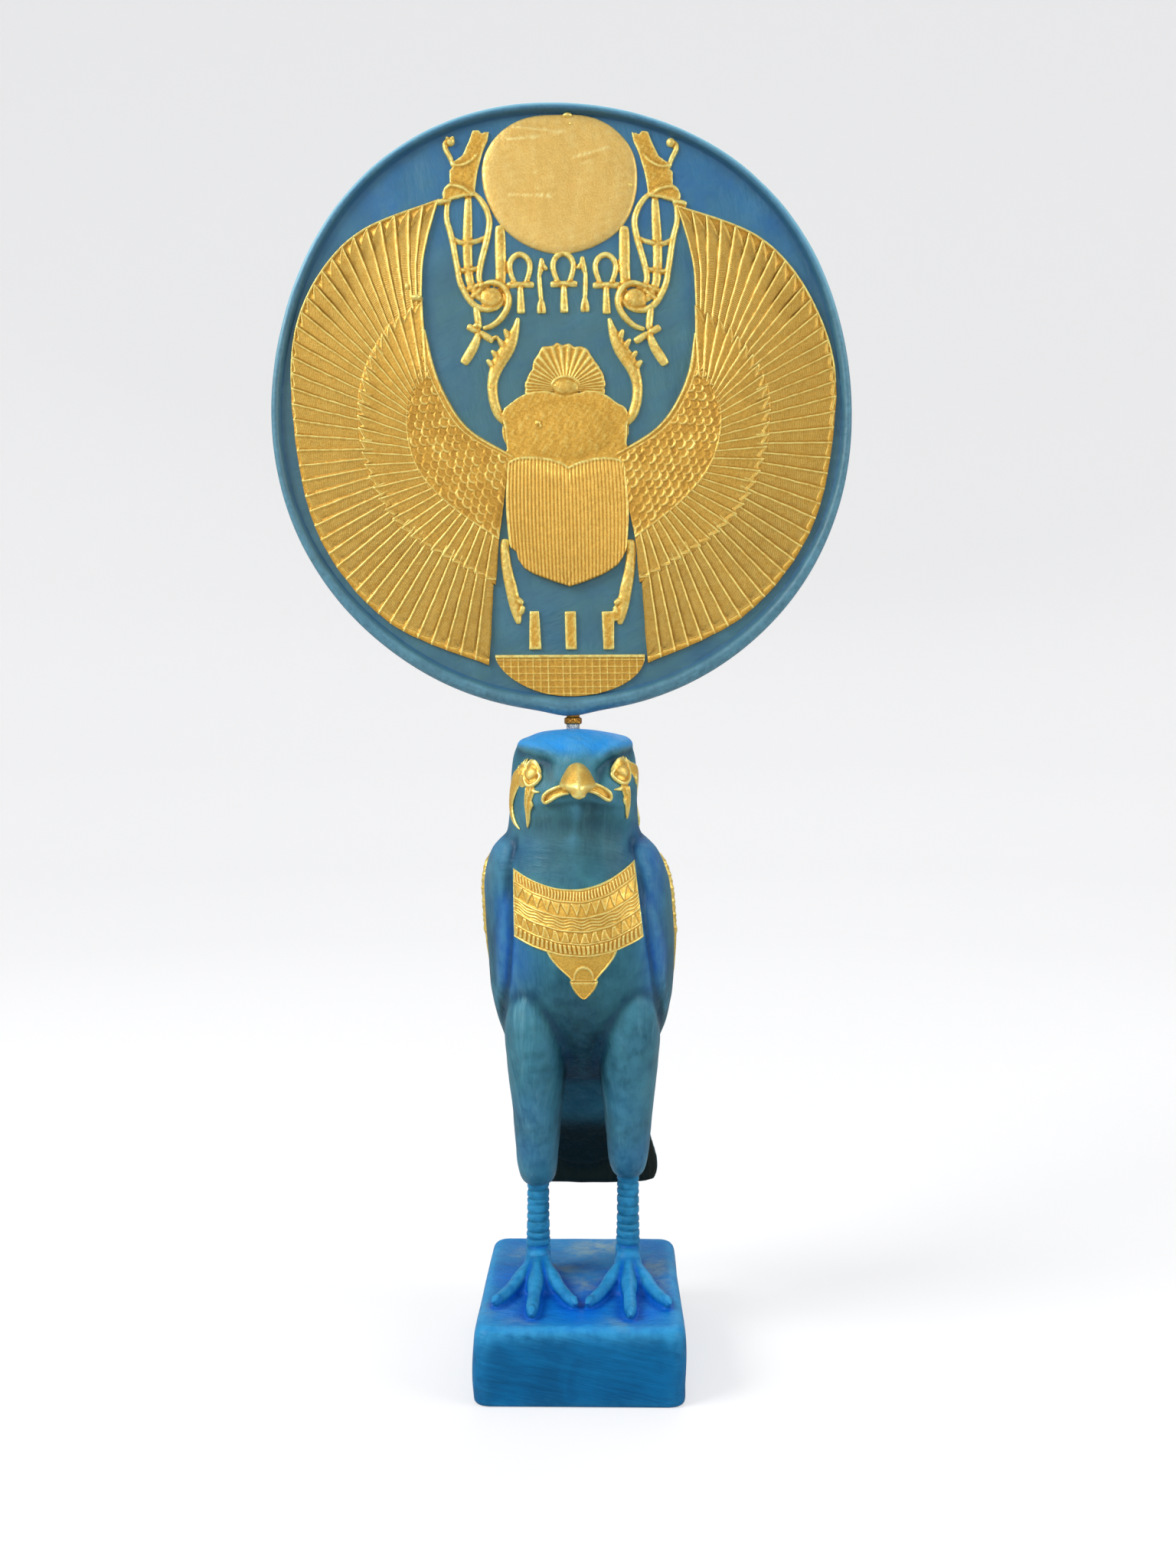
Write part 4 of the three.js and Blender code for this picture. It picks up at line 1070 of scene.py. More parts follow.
def toned_sheet(name, form, shape, sink):
    """A closed sheet whose shape(s, t) gives the points and then the tone: -1 on a crest, 1 in a hollow."""
    tones = []

    def points(s, t):
        spots, tone = shape(s, t)
        tones.extend(tone)
        return spots

    mesh = closed_sheet(name, form, points, sink)
    mark(mesh, "hollow", tones + [0] * (len(mesh.vertices) - len(tones)))
    return mesh


print("sheets ready")


# %% The collar
def chest(x, z):
    """How far forward the chest stands at each place."""
    half, front, back = body_section(z)
    return (front + back) / 2 - (back - front) / 2 * np.sqrt(np.maximum(0, 1 - (x / half) ** 2))


BAND_EDGE = 0.008


def band(t, low, high):
    """1 between low and high, with soft edges."""
    return smooth(t, low - BAND_EDGE, low + BAND_EDGE) * (1 - smooth(t, high - BAND_EDGE, high + BAND_EDGE))


def wave_of(value):
    """A tooth from 0 to 1 and back for each whole number."""
    return 1 - np.abs(2 * (value - np.floor(value)) - 1)


BARS, TRIANGLES, BEADS = 40, 13, 29
COLLAR_HALF_TOP, COLLAR_HALF_FOOT = 23.6, 24.8
COLLAR_TOP, COLLAR_FOOT = 186.4, 161.2


def collar_height(s, t):
    """The relief of the collar in millimetres, across and down it."""
    s = s + 0.004 * np.sin(9 * s + 20 * t)
    t = t + 0.008 * np.sin(7 * s) + 0.004 * np.sin(31 * s)
    total = 0.42 * (band(t, 0.0, 0.022) + band(t, 0.978, 1.0))
    for centre in (0.185, 0.42, 0.62, 0.81):
        total = total + 0.5 * np.exp(-(((t - centre) / 0.014) ** 2))
    total += 0.5 * band(t, 0.035, 0.165) * smooth(wave_of(s * BARS), 0.35, 0.75)
    up_down = (t - 0.21) / 0.18
    total += 0.42 * band(t, 0.21, 0.39) * smooth(wave_of(s * TRIANGLES) - up_down * 0.9, -0.02, 0.12)
    total += 0.28 * band(t, 0.44, 0.60) * smooth(wave_of((t - 0.44) / 0.045 + 0.32 * np.sin(s * 44)), 0.35, 0.8)
    teeth = wave_of(s * TRIANGLES + 0.3) - (0.79 - t) / 0.145 * 0.55
    total += 0.46 * band(t, 0.645, 0.79) * smooth(teeth, 0.1, 0.26)
    total += 0.6 * band(t, 0.835, 0.965) * smooth(wave_of(s * BEADS), 0.1, 0.8) ** 0.7
    return total


def collar_shape(s, t):
    """Where each place of the collar lies on the chest."""
    x = (2 * s - 1) * mix(COLLAR_HALF_TOP, COLLAR_HALF_FOOT, t)
    bow = (x / 24) ** 2
    top = COLLAR_TOP + 8.4 * bow + 0.045 * x + 1.1 * np.clip(x / 24, 0, 1) ** 2
    z = mix(top, COLLAR_FOOT + 6 * bow, t)
    lift = 1.0 + collar_height(s, t)
    spot = np.stack([x, chest(x, z), z], 1)
    spot[:, 1] -= lift
    spot = posed(spot)
    return spot + 0.1 * wander(spot, 6, 41)[:, None] * np.array([0, 1, 0])


gilded("collar", closed_sheet("collar", sheet(300, 124), collar_shape, (0, 3.2, 0)), 8, 0.16)

# %% Pendant
PENDANT = [[163.5, 1.0, 13.6], [160.3, 1.0, 12.0], [157, 1.1, 9.4], [154.2, 1.3, 6.7], [152.2, 1.5, 5.0],
           [151.2, 1.5, 5.3], [148.6, 1.5, 4.3], [146.6, 1.4, 2.9], [145.0, 1.4, 1.4], [144.4, 1.4, 0.4]]


def pendant_shape(s, t):
    """Where each place of the pendant lies, with its rim, arch and bar raised."""
    z, middle, half = between(PENDANT, t).T
    x = middle + (2 * s - 1) * half
    inset = (1 - np.abs(2 * s - 1)) * half
    rim = np.exp(-(((inset - 0.5) / 0.42) ** 2)) * (1 - smooth(t, 0.9, 1))
    oval = np.hypot((x - 1.4) / 3.6, (z - 152.4) / 4.6)
    arch = np.exp(-(((oval - 1) / 0.13) ** 2)) * smooth(z, 151.8, 152.6)
    bar = np.exp(-(((z - 152.0) / 0.4) ** 2)) * (1 - smooth(np.abs(x - 1.5), 4.6, 5.2))
    tip = 0.5 * (1 - smooth(z, 150.9, 151.6)) * smooth(inset, 0, 0.7)
    lift = 0.75 + 0.45 * rim + 0.45 * arch + 0.4 * bar + tip + 0.25 * smooth(1 - oval, 0, 0.3) * smooth(z, 152, 153)
    return posed(np.stack([x, chest(x, z) - lift, z], 1))


gilded("pendant", closed_sheet("pendant", sheet(110, 90), pendant_shape, (0, 2.8, 0)), 8, 0.16)

# %% [markdown]
# ## Gilded wings
# Only a thin gold edge of the folded wings shows from the front. Their sides are taken as one gilded relief each:
# scales over the shoulder, then two ranks of feathers that narrow down to the tail, laid on the wing like the collar.

# %% The folded wings' relief
# Height, then the bearings of the front and back edges, counted backwards from straight sideways.
GILDED = [
    [198.5, 24, 26], [197.2, 12, 38], [194, 5, 46], [188, 1, 51], [175, 0, 53], [164, 1, 54], [156, 6, 54],
    [145, 10, 55], [130, 14, 56], [115, 18, 56], [100, 22, 56], [86, 26, 55], [76, 30, 52], [69, 36, 46], [66, 40, 42],
]
TOP_OF_GILDED, FOOT_OF_GILDED = 198.5, 66.0
# The heights where the scales and the upper feathers end.
SCALES_END = 166
COVERTS_END = 138
# Rows of scales, and scales in each.
SCALE_ROWS = 14
SCALES_ACROSS = 11


def feathered(share, z, count, low, round_tip, slant):
    """Feathers side by side that hang down to low: their height and tone, and where they lie. Their tips are round by
    round_tip, and their barbs run out at slant."""
    cell = share * count
    across = 2 * (cell - np.floor(cell)) - 1
    shake = 0.8 * np.sin(2.3 * np.floor(cell) + count)
    tip = low + shake + round_tip * across**2
    arch = (1 - np.abs(across) ** 2.6) * 0.42
    rib = 0.22 * np.exp(-((across / 0.1) ** 2))
    barb = 0.07 * np.sin(2 * pi * (z + slant * np.abs(across)) / 1.15) * (1 - smooth(np.abs(across), 0.75, 0.95))
    lying = z > tip
    return arch + rib + barb, 0.9 * np.abs(across) ** 2 - 0.45 - 2.0 * rib, lying


def scaled(share, z):
    """Small scales in rows that overlap downwards."""
    high, tone = np.zeros(len(share)), np.zeros(len(share))
    for row in range(SCALE_ROWS - 1, -1, -1):
        middle = TOP_OF_GILDED + 1 - 2.7 * row
        cell = share * SCALES_ACROSS + 0.5 * (row % 2)
        across = 2 * (cell - np.floor(cell)) - 1
        far = np.hypot(across * 1.05, (z - middle) / 2.9)
        ring = np.exp(-(((far - 0.84) / 0.13) ** 2)) * (z < middle)
        inside = (far < 1) | (z > middle)
        high = np.where(inside, 0.25 + 0.12 * (middle - z) * (z < middle) + 0.28 * ring, high)
        tone = np.where(inside, 0.45 - 1.2 * ring, tone)
    return high, tone


def gilded_wing(side):
    """The gilded relief of one folded wing, as a piece."""
    rows = between(GILDED, np.linspace(0, 1, 600))[::-1]
    wing_rows = between(MANTLE, np.linspace(0, 1, 1500))[::-1]

    def shape(s, t):
        z = mix(TOP_OF_GILDED, FOOT_OF_GILDED, t)
        bearing = np.radians(mix(np.interp(z, rows[:, 0], rows[:, 1]), np.interp(z, rows[:, 0], rows[:, 2]), s))
        half, front, back = (np.interp(z, wing_rows[:, 0], wing_rows[:, k]) for k in (1, 2, 3))
        long_high, long_tone, _ = feathered(s, z, 7, 0, 5, 2.2)
        high, tone = 0.15 + long_high, long_tone
        second, second_tone, on_second = feathered(s, z, 9, COVERTS_END, 4.5, 2.0)
        high, tone = np.where(on_second, 0.38 + second, high), np.where(on_second, second_tone, tone)
        scale_high, scale_tone = scaled(s, z)
        on_scales = z > SCALES_END
        high, tone = np.where(on_scales, 0.5 + scale_high, high), np.where(on_scales, scale_tone, tone)
        strip = np.exp(-(((z - SCALES_END) / 0.7) ** 2))
        edge = 1 - smooth(np.minimum(s, 1 - s) * mix(36, 14, t), 0.6, 1.3)
        high, tone = np.maximum(high, 0.75 * edge), tone * (1 - edge) - 0.6 * edge
        high, tone = high + 0.35 * strip, tone * (1 - strip) - 0.5 * strip
        out = high + 0.1
        x = side * (half + out) * np.cos(bearing)
        y = (front + back) / 2 + ((back - front) / 2 + out) * np.sin(bearing)
        spots = posed(np.stack([x, y, z], 1))
        way = np.stack([side * np.cos(bearing), np.sin(bearing), 0 * z], 1)
        return spots + handwork(spots)[:, None] * way, tone

    name = f"wing_gold_{'right' if side > 0 else 'left'}"
    piece(name, toned_sheet(name, sheet(110, 330), shape, (-side * 3.4, -0.8, 0)), gold)


for side in (-1, 1):
    gilded_wing(side)

# %% [markdown]
# ## The disc
# The board is one turned form whose outline is a little fuller at the top than at the bottom, with a rounded rim
# round a sunken field. It is drawn upright about its own centre and then leans to one side with the pin.

# %% Disc sizes and placing
DISC = (230.6, 240.2)
# Swells round the outline in a turn, and how far, as cosine and sine.
DISC_SWELLS = [(2, 0, -0.83), (4, -0.6, 0.36), (5, -0.2, -0.4)]
DISC_SHIFT = -1.4
BOSS_DROP = 1.7
FIELD = -3.5
BOARD_HALF = 6.5
BOARD_AROUND = 300
LEAN = radians(1.5)
CENTRE_HEIGHT = DISC[1] / 2 + BOSS_DROP
FOOT_OF_DISC = (-3.4, 0, 252.5)
STAND = (Matrix.Translation(FOOT_OF_DISC) @ Matrix.Rotation(-LEAN, 4, "Y")
         @ Matrix.Translation((0, 0, CENTRE_HEIGHT)))


def outline_reach(angle):
    """How far the disc's edge is from its centre at each angle."""
    reach = 1 / np.hypot(np.cos(angle) * 2 / DISC[0], np.sin(angle) * 2 / DISC[1])
    for turns, c, s in DISC_SWELLS:
        reach = reach + c * np.cos(turns * angle) + s * np.sin(turns * angle)
    return reach


def fitted(x, z):
    """The relief was drawn flat and a little large. The cast draws it in and down, most at the top."""
    return 0.35 + x * (0.9895 - 0.00004 * z), z - 1.1 - 0.016 * z - 0.000039 * z * z - 0.000035 * x * (z + 110)


def rim_width(angle):
    """How wide the rim is at each angle: wider towards the foot of the disc."""
    return mix(4.5, 6.6, smooth(-np.sin(angle), 0.2, 1.0))


# Share of the field's reach, how far across the rim (1 inside, 0 outside), and depth.
FIELD_ROWS = [[f, 1, FIELD] for f in np.linspace(0, 0.995, 36)]
RIM_ROWS = [[1, 1.0, FIELD], [1, 0.95, FIELD - 0.1], [1, 0.85, -4.4], [1, 0.7, -5.8], [1, 0.54, -6.42], [1, 0.4, -6.5],
            [1, 0.24, -6.15], [1, 0.1, -5.1], [1, 0.02, -3.6], [1, 0, -1.6], [1, 0, 1.4], [1, 0.04, 4.0],
            [1, 0.16, 5.7], [1, 0.42, 6.4], [0.99, 0.55, 6.5]]
BACK_ROWS = [[f, 0.6, BOARD_HALF] for f in np.linspace(0.97, 0, 20)]
board_rows = np.array(FIELD_ROWS + between(RIM_ROWS, np.linspace(0, 1, 36)).tolist() + BACK_ROWS)
print("board rows:", len(board_rows))


# %% Turning the board
def turn_board(p):
    """Brings a ball's rings to the board's rows, with a boss at its foot and an uneven surface."""
    ring = np.round(np.arccos(np.clip(p[:, 2], -1, 1)) / pi * (len(board_rows) - 1)).astype(int)
    angle = np.arctan2(p[:, 1], p[:, 0])
    share, across, y = board_rows[ring].T
    edge = outline_reach(angle) - rim_width(angle) * across
    edge = edge + BOSS_DROP * np.exp(-(((angle + pi / 2) / 0.075) ** 2)) * (1 - across)
    reach = share * edge
    x, z = reach * np.cos(angle), reach * np.sin(angle)
    spots = np.stack([x, 0 * x, z], 1)
    hand = smooth(share, 0.9, 1)
    uneven = hand * 0.1 * wander(spots, 60, 51)
    x, z = x + uneven * np.cos(angle), z + uneven * np.sin(angle)
    y = y + 0.12 * wander(spots, 22, 52) + 0.1 * hand * wander(spots, 9, 53)
    return np.stack([x + DISC_SHIFT, np.clip(y, -BOARD_HALF, BOARD_HALF), z], 1)


board = ball(BOARD_AROUND, len(board_rows) - 1)
move(board, turn_board)
board_mesh = meshed("board", board)
mark(board_mesh, "hollow", hollows(board_mesh, 12, 0.5))
flat = points_of(board_mesh)
angle = np.arctan2(flat[:, 2], flat[:, 0] - DISC_SHIFT)
beyond = np.hypot(flat[:, 0] - DISC_SHIFT, flat[:, 2]) - outline_reach(angle)
mark(board_mesh, "rim", smooth(beyond, -6.5, -3.5))
mark(board_mesh, "back", smooth(flat[:, 1], 3, 6))
# On the upper rim, the outer edge (lip) gets a painted highlight and the inner side (inner) a painted shade.
upper_rim_for_painted_light = smooth(flat[:, 2], 0, 60) * (1 - smooth(flat[:, 1], -1, 3))
mark(board_mesh, "lip", smooth(beyond, -2.4, -1.0) * upper_rim_for_painted_light)
mark(board_mesh, "inner", smooth(beyond, -6.0, -4.4) * (1 - smooth(beyond, -3.6, -2.2)) * upper_rim_for_painted_light)
teal_low = smooth(-flat[:, 2], -80, -10)
teal_inside = smooth(-flat[:, 2], -86, -44) * (1 - smooth(np.abs(flat[:, 0] + 2), 46, 58))
mark(board_mesh, "grey", np.clip(np.maximum(teal_low, teal_inside) + 0.25 * wander(flat, 60, 54), 0, 1))
board_mesh.transform(STAND)

# %% Disc paint
disc_paint, tree, shader = new_material("disc_paint", seen(62, 120, 160), 0.45)
strokes = placed(tree, brush, Scale=420.0, Stretch=(0.35, 1.0, 1.0), Turn=(0.0, radians(24), 0.0)).outputs[0]
cross_strokes = placed(tree, brush, Scale=520.0, Stretch=(1.0, 1.0, 0.3), Turn=(0.0, radians(12), 0.0)).outputs[0]
patches = placed(tree, cloud, Scale=32.0, Low=0.38, High=0.62).outputs[0]
small = placed(tree, cloud, Scale=120.0, Low=0.35, High=0.7).outputs[0]
relief_wear_and_light = placed(tree, relief, Crest=1.2, Hollow=1.4, Break=500.0)
grey = attribute(tree, "grey")
# lip is a painted highlight and inner a painted shade on the upper rim.
rim = layered(tree, seen(54, 118, 160), [
    (grey, 1.0, seen(66, 108, 122)), (small, 0.6, seen(66, 120, 142)),
    (ranged(tree, cross_strokes, 0.5, 0.7), 0.4, seen(96, 152, 166)),
    ("lip", 0.8, seen(150, 214, 234)), ("inner", 0.75, seen(40, 86, 102)),
])
rear = mixed(tree, patches, seen(42, 98, 146), seen(52, 110, 140))
# The crests are lightened as wear and painted highlight, the hollows darkened as painted shade.
colour = layered(tree, mixed(tree, patches, seen(32, 102, 158), seen(48, 116, 158)), [
    (grey, 0.9, seen(66, 112, 118)), (small, 0.45, seen(66, 120, 136)),
    (ranged(tree, strokes, 0.45, 0.75), 0.35, seen(40, 96, 140)), ("rim", 1.0, rim), ("back", 1.0, rear),
    (relief_wear_and_light.outputs["Crests"], 0.5, seen(116, 180, 206)), (relief_wear_and_light.outputs["Hollows"], 0.7, seen(28, 84, 130)),
])
brushed(tree, shader, colour, either(tree, patches, strokes, cross_strokes), (0.36, 0.56), 0.0009)
piece("sun_disc", board_mesh, disc_paint, "sun_disc")

# %% [markdown]
# ## The wings on the disc
# Each wing is three overlapping sheets: long feathers, shorter feathers that cover their roots, and scales. A feather
# is a tilted strip with a thin raised edge and fine barbs, so the grid's columns follow the raised edges and its rows
# follow the barbs. That keeps the ridges crisp with few faces.

# %% Lines of the left wing, across and up from the disc's centre
WING_SHIFT = -1.9
WING_RIM = [[-46.3, 85.3], [-81.8, 70.8], [-103.3, 41], [-107.3, 2], [-98.3, -47], [-71.3, -82.5], [-31.3, -101]]
WING_EDGE = [[-48, 85], [-55.3, 45], [-54, 27], [-49, 9], [-38.7, -7.5], [-20.5, -19]]
WING_MIDDLE = [[-55.5, 45], [-69.3, 34], [-80.5, 10], [-78.5, -22], [-63, -48], [-27.7, -69]]
WING_ROOT = [[-54.3, 15], [-59.6, 7.8], [-61.9, -3], [-60.3, -16], [-55, -27], [-44, -38.5], [-26.1, -51.5]]
LONG_FEATHERS = 41
SHORT_FEATHERS = 30
# How high the two ranks and the scales lie over the field, and how many columns of faces a feather has.
LONG_LIFT = 0.95
SHORT_LIFT = 1.35
SCALES_LIFT = 1.5
COLUMNS = 8


# %% Bringing the drawing to its place on either side
def mirrored(p, side, inset, turn, drop):
    """The right side is the left one mirrored, and turned a little as it was moulded."""
    if side < 0:
        return p
    x, z = -p[..., 0], p[..., 1]
    return np.stack([x - inset + turn * z, z - drop * x], -1)


def right_wing(p, side):
    """The right wing is a little smaller, lower at the top, and its inner edge stands further out at the bottom."""
    p = mirrored(p, side, 1.8, 0.033, 0.022)
    if side > 0:
        x, z = p[..., 0], p[..., 1]
        high = smooth(z, 0, 46)
        p = np.stack([x + 2.0 * smooth(-z, 15, 60) * (1 - smooth(x, 28, 66)) - 3.2 * high, z - 3.6 * high], -1)
    return p


def stood(x, y, z):
    """Points drawn on the disc, brought to their place on the figure."""
    x, z = fitted(x, z)
    points = np.stack(np.broadcast_arrays(x, y, z), -1)
    turn = np.array(STAND.to_3x3())
    return points @ turn.T + np.array(STAND.translation)


print("drawn points can be mirrored and stood")


# %% A sheet of feathers
def feather_sheet(name, inner, outer, rows, look, place, bow=0.0):
    """Feathers side by side between two lines of ridge ends. look gives, for each feather's number, how far its arched
    tip comes back, the slope of its barbs, their height and the tip's. place brings across, up and height to the
    figure. The first feathers bow inwards by bow."""
    count = len(outer) - 1

    def shape(s, t):
        column = np.round(s * count * COLUMNS).astype(int)
        row = np.round(t * rows).astype(int)
        i = np.minimum(column // COLUMNS, count - 1)
        k = column - i * COLUMNS
        arch, slope, barb, tip_lift = (np.interp(i + k / COLUMNS, np.arange(count + 1), values) for values in look)
        length = np.linalg.norm(outer[i] - inner[i], axis=1)
        width = mix(np.linalg.norm(inner[i + 1] - inner[i], axis=1),
                    np.linalg.norm(outer[i + 1] - outer[i], axis=1), t)
        # The first columns make the raised edge: its foot, its top on both sides and its far foot.
        foot = np.array([0, 0.26, 0.58, 0.92, 0, 0, 0, 0, 0])
        most = np.array([0, 0.08, 0.19, 0.32, 0, 0, 0, 0, 0])
        first = np.minimum(0.92 / width, 0.32)
        u = np.where(k <= 3, np.minimum(foot[k] / width, most[k]), first + (1 - first) * (k - 3) / (COLUMNS - 3))
        last = rows - 3
        share = np.clip(row / last, 0, 1)
        share = np.where(row == last - 1, 1 - 0.42 / length, share)
        share = np.where(row < last - 1, row / (last - 1) * (1 - 0.9 / length), share)
        drop = arch / length * u**1.6
        margin = 0.55 / length
        border = 1 - margin - drop
        sway = slope * u * width / length * smooth(share, 0, 0.12) * (1 - smooth(share, 0.8, 0.97))
        v = share * (1 - margin) - drop * smooth(share, 0.45, 1) + sway
        outside = border + np.minimum(0.42 / length, 0.5 * (1 - border))
        v = np.where(row == last + 1, outside, v)
        v = np.where(row == last + 2, mix(outside, 1, 0.6), v)
        v = np.where(row == last + 3, 1, v)
        near = inner[i] + (outer[i] - inner[i]) * v[:, None]
        far = inner[i + 1] + (outer[i + 1] - inner[i + 1]) * v[:, None]
        spot = near + (far - near) * u[:, None]
        spot[:, 0] -= bow * np.exp(-(i + u) / 2.5) * np.sin(pi * np.clip(v, 0, 1))
        blade = mix(0.4, 0.1, np.clip((u - first) / (1 - first), 0, 1))
        comb = np.where(row % 2 == 1, 1.0, -1.0) * smooth(share, 0.01, 0.05) * (1 - smooth(share, 0.95, 0.985))
        comb = comb * np.where(k < 3, 0, np.where(k == 3, 0.5, np.where(k == COLUMNS, 0.4, 1)))
        ridge = np.where((k == 1) | (k == 2), 1.0, 0.0)
        ridge = np.where((i == 0) & (k == 0), 0.8, ridge)
        ridge = np.where(row == last, np.maximum(ridge, tip_lift), ridge)
        ridge = ridge * smooth(v * length, 0.0, 1.2)
        high = np.where(k == 0, 0.08, blade) + barb * comb
        high = mix(high, 0.66, ridge)
        high = np.where(row > last, mix(0.02, high, 1 - smooth(tip_lift, 0, 0.4)), high)
        tone = np.where(ridge > 0.5, -1.0, np.where(k == 0, 0.7, -barb * comb * 3.2)) + 0.35 * (row > last)
        uneven = np.stack([spot[:, 0], 0 * v, spot[:, 1]], 1)
        high = high * (1 + 0.14 * wander(uneven, 9, 61)) + 0.05 * wander(uneven, 14, 62)
        spot = spot + 0.13 * np.stack([wander(uneven, 8, 63), wander(uneven, 8, 64)], 1)
        return place(spot[:, 0], spot[:, 1], high), tone

    return toned_sheet(name, sheet(count * COLUMNS, rows), shape, (0, 1.9, 0))


def joined(name, meshes):
    """Several meshes as one, with their marks."""
    whole = bmesh.new()
    for mesh in meshes:
        whole.from_mesh(mesh)
        bpy.data.meshes.remove(mesh)
    return meshed(name, whole)


print("feathers:", LONG_FEATHERS, "long and", SHORT_FEATHERS, "short on each side")

# %% Long and short feathers
# Which ridge of the rank below, and which share of the root's line, the numbered ridges run to.
RIDGE_MEETS = ([0, 2, 5.9, 13.8, 41], [0.0, 0.6, 3.0, 7.9, 29.8])
ROOT_SHARES = ([0, 3.6, 5.7, 8.6, 30], [0.0, 0.075, 0.13, 0.2, 1.0])


def on_line(line, share):
    """Points evenly along one of the wing's lines."""
    return even(line, share) + [WING_SHIFT, 0]


def lengthened(inner, outer, reach):
    """The inner ends moved on by reach, away from the outer ones, so that the next rank covers them."""
    inward = (inner - outer) / np.linalg.norm(inner - outer, axis=1)[:, None]
    return inner + inward * reach


number = np.arange(LONG_FEATHERS + 1)
long_outer = on_line(WING_RIM, number / LONG_FEATHERS)
meets = on_line(WING_MIDDLE, np.interp(number, *RIDGE_MEETS) / SHORT_FEATHERS)
meets[:, 0] += np.interp(number, [0, 3], [1.2, 0])
long_inner = lengthened(meets, long_outer, np.interp(number, [0, 3, 7, 36, 41], [0.5, 3, 6, 6, 4])[:, None])
# At the numbered ridges: how far the tip comes back, the barbs' slope and height, and the tip's height.
long_look = (
    np.interp(number, [0, 8, 12, 15, 20, 41], [7.5, 7.2, 4.0, 2.0, 0.7, 0.7]),
    np.interp(number, [0, 4, 10, 20, 30, 41], [0.58, 0.5, -0.1, 0.1, 0.6, 0.84]),
    np.interp(number, [0, 5, 12, 20, 28, 41], [0.22, 0.2, 0.15, 0.17, 0.22, 0.22]),
    np.interp(number, [0, 18, 22, 41], [0.85, 0.8, 0.3, 0.25]),
)
number = np.arange(SHORT_FEATHERS + 1)
short_outer = on_line(WING_MIDDLE, number / SHORT_FEATHERS)
short_inner = on_line(WING_ROOT, np.interp(number, *ROOT_SHARES))
short_outer[:, 0] += np.interp(number, [0, 3], [1.4, 0])
short_inner[:, 0] += np.interp(number, [0, 3], [1.2, 0])
short_inner = lengthened(short_inner, short_outer, 1.5)
short_look = (
    np.interp(number, [0, 8, 14, 30], [5.2, 4.2, 2.4, 1.6]),
    np.interp(number, [0, 8, 16, 30], [0.3, 0.0, 0.3, 0.84]),
    np.interp(number, [0, 6, 12, 30], [0.05, 0.07, 0.12, 0.13]),
    np.interp(number, [0, 10, 30], [0.85, 0.8, 0.6]),
)


def wing_place(side, lift):
    """How one wing's drawn points come to the figure, raised over the field by lift."""
    def place(x, z, high):
        p = right_wing(np.stack([x, z], -1), side)
        return stood(p[:, 0], FIELD - lift - high, p[:, 1])
    return place


for side, title in ((-1, "left"), (1, "right")):
    long_mesh = feather_sheet("long", long_inner, long_outer, 118, long_look, wing_place(side, LONG_LIFT), 2.2)
    short_mesh = feather_sheet("short", short_inner, short_outer, 76, short_look, wing_place(side, SHORT_LIFT))
    piece("wing_" + title, joined("wing_" + title, [long_mesh, short_mesh]), gold)

# %% [markdown]
# The scales near the body are round and overlap like tiles. Each is a low dome with a raised far edge,
# and one nearer the body covers the next.

# %% Scales
SCALE_RADIUS = 2.75
SCALE_ALONG = np.array([0.64, -0.77]) * 4.0
SCALE_OUT = np.array([-0.77, -0.64]) * 2.75


def scale_relief(x, z):
    """Height and tone of the scales at each place."""
    jitter = np.random.default_rng(5)
    high, tone = np.full(len(x), 0.1), np.full(len(x), 0.4)
    for row in range(16, -9, -1):
        for step in range(-14, 15):
            shake = jitter.normal(size=3)
            centre = np.array([-42, -20]) + SCALE_OUT * row + SCALE_ALONG * (step + 0.5 * (row % 2))
            centre = centre + 0.16 * shake[:2]
            size = SCALE_RADIUS * (1 - 0.007 * max(centre[1] + 30, 0)) * (1 + 0.04 * shake[2])
            far = np.hypot(x - centre[0], z - centre[1]) / size
            inside = far < 1
            outward = (x - centre[0]) * SCALE_OUT[0] + (z - centre[1]) * SCALE_OUT[1]
            outward = outward / np.linalg.norm(SCALE_OUT) / size
            ring = np.exp(-(((far - 0.82) / 0.16) ** 2)) * mix(0.25, 1, smooth(outward, -0.5, 0.6))
            ring = ring * (1 + 0.3 * shake[1])
            high = np.where(inside, 0.1 + 0.2 * (1 - far**2) + 0.3 * outward * far + 0.3 * ring, high)
            tone = np.where(inside, 0.5 - 1.0 * ring + 0.15 * shake[0], tone)
    return high, tone


def scale_sheet(side):
    """The scales of one wing, from its inner edge to the roots of its short feathers."""
    def shape(s, t):
        near = even(WING_EDGE, mix(0.47, 1.0, s)) + [WING_SHIFT - 0.6, -0.3]
        far = on_line(WING_ROOT, s)
        spot = near + (far - near) * t[:, None]
        high, tone = scale_relief(spot[:, 0], spot[:, 1])
        edge = smooth(np.minimum(1 - t, 1 - s) * 40, 0.0, 1.2)
        high = high + 0.08 * wander(np.stack([spot[:, 0], 0 * t, spot[:, 1]], 1), 3.0, 66)
        line_by_root = np.exp(-(((1 - t) * 40 - 0.7) / 0.55) ** 2)
        high = mix(0.05, high, edge) + 0.35 * line_by_root
        p = right_wing(spot, side)
        return stood(p[:, 0], FIELD - SCALES_LIFT - high, p[:, 1]), mix(tone, -0.8, line_by_root)

    return toned_sheet("scales", sheet(250, 90), shape, (0, 1.6, 0))


piece("wing_scales", joined("wing_scales", [scale_sheet(-1), scale_sheet(1)]), gold)

# %% [markdown]
# ## The scarab
# The beetle's wing cases are fluted and the plate in front of them is a smooth dome. Between its forelegs is a fan of
# ribs round an oval. Fluted and ribbed parts are sheets; the rest are plates and strands fused like one casting.

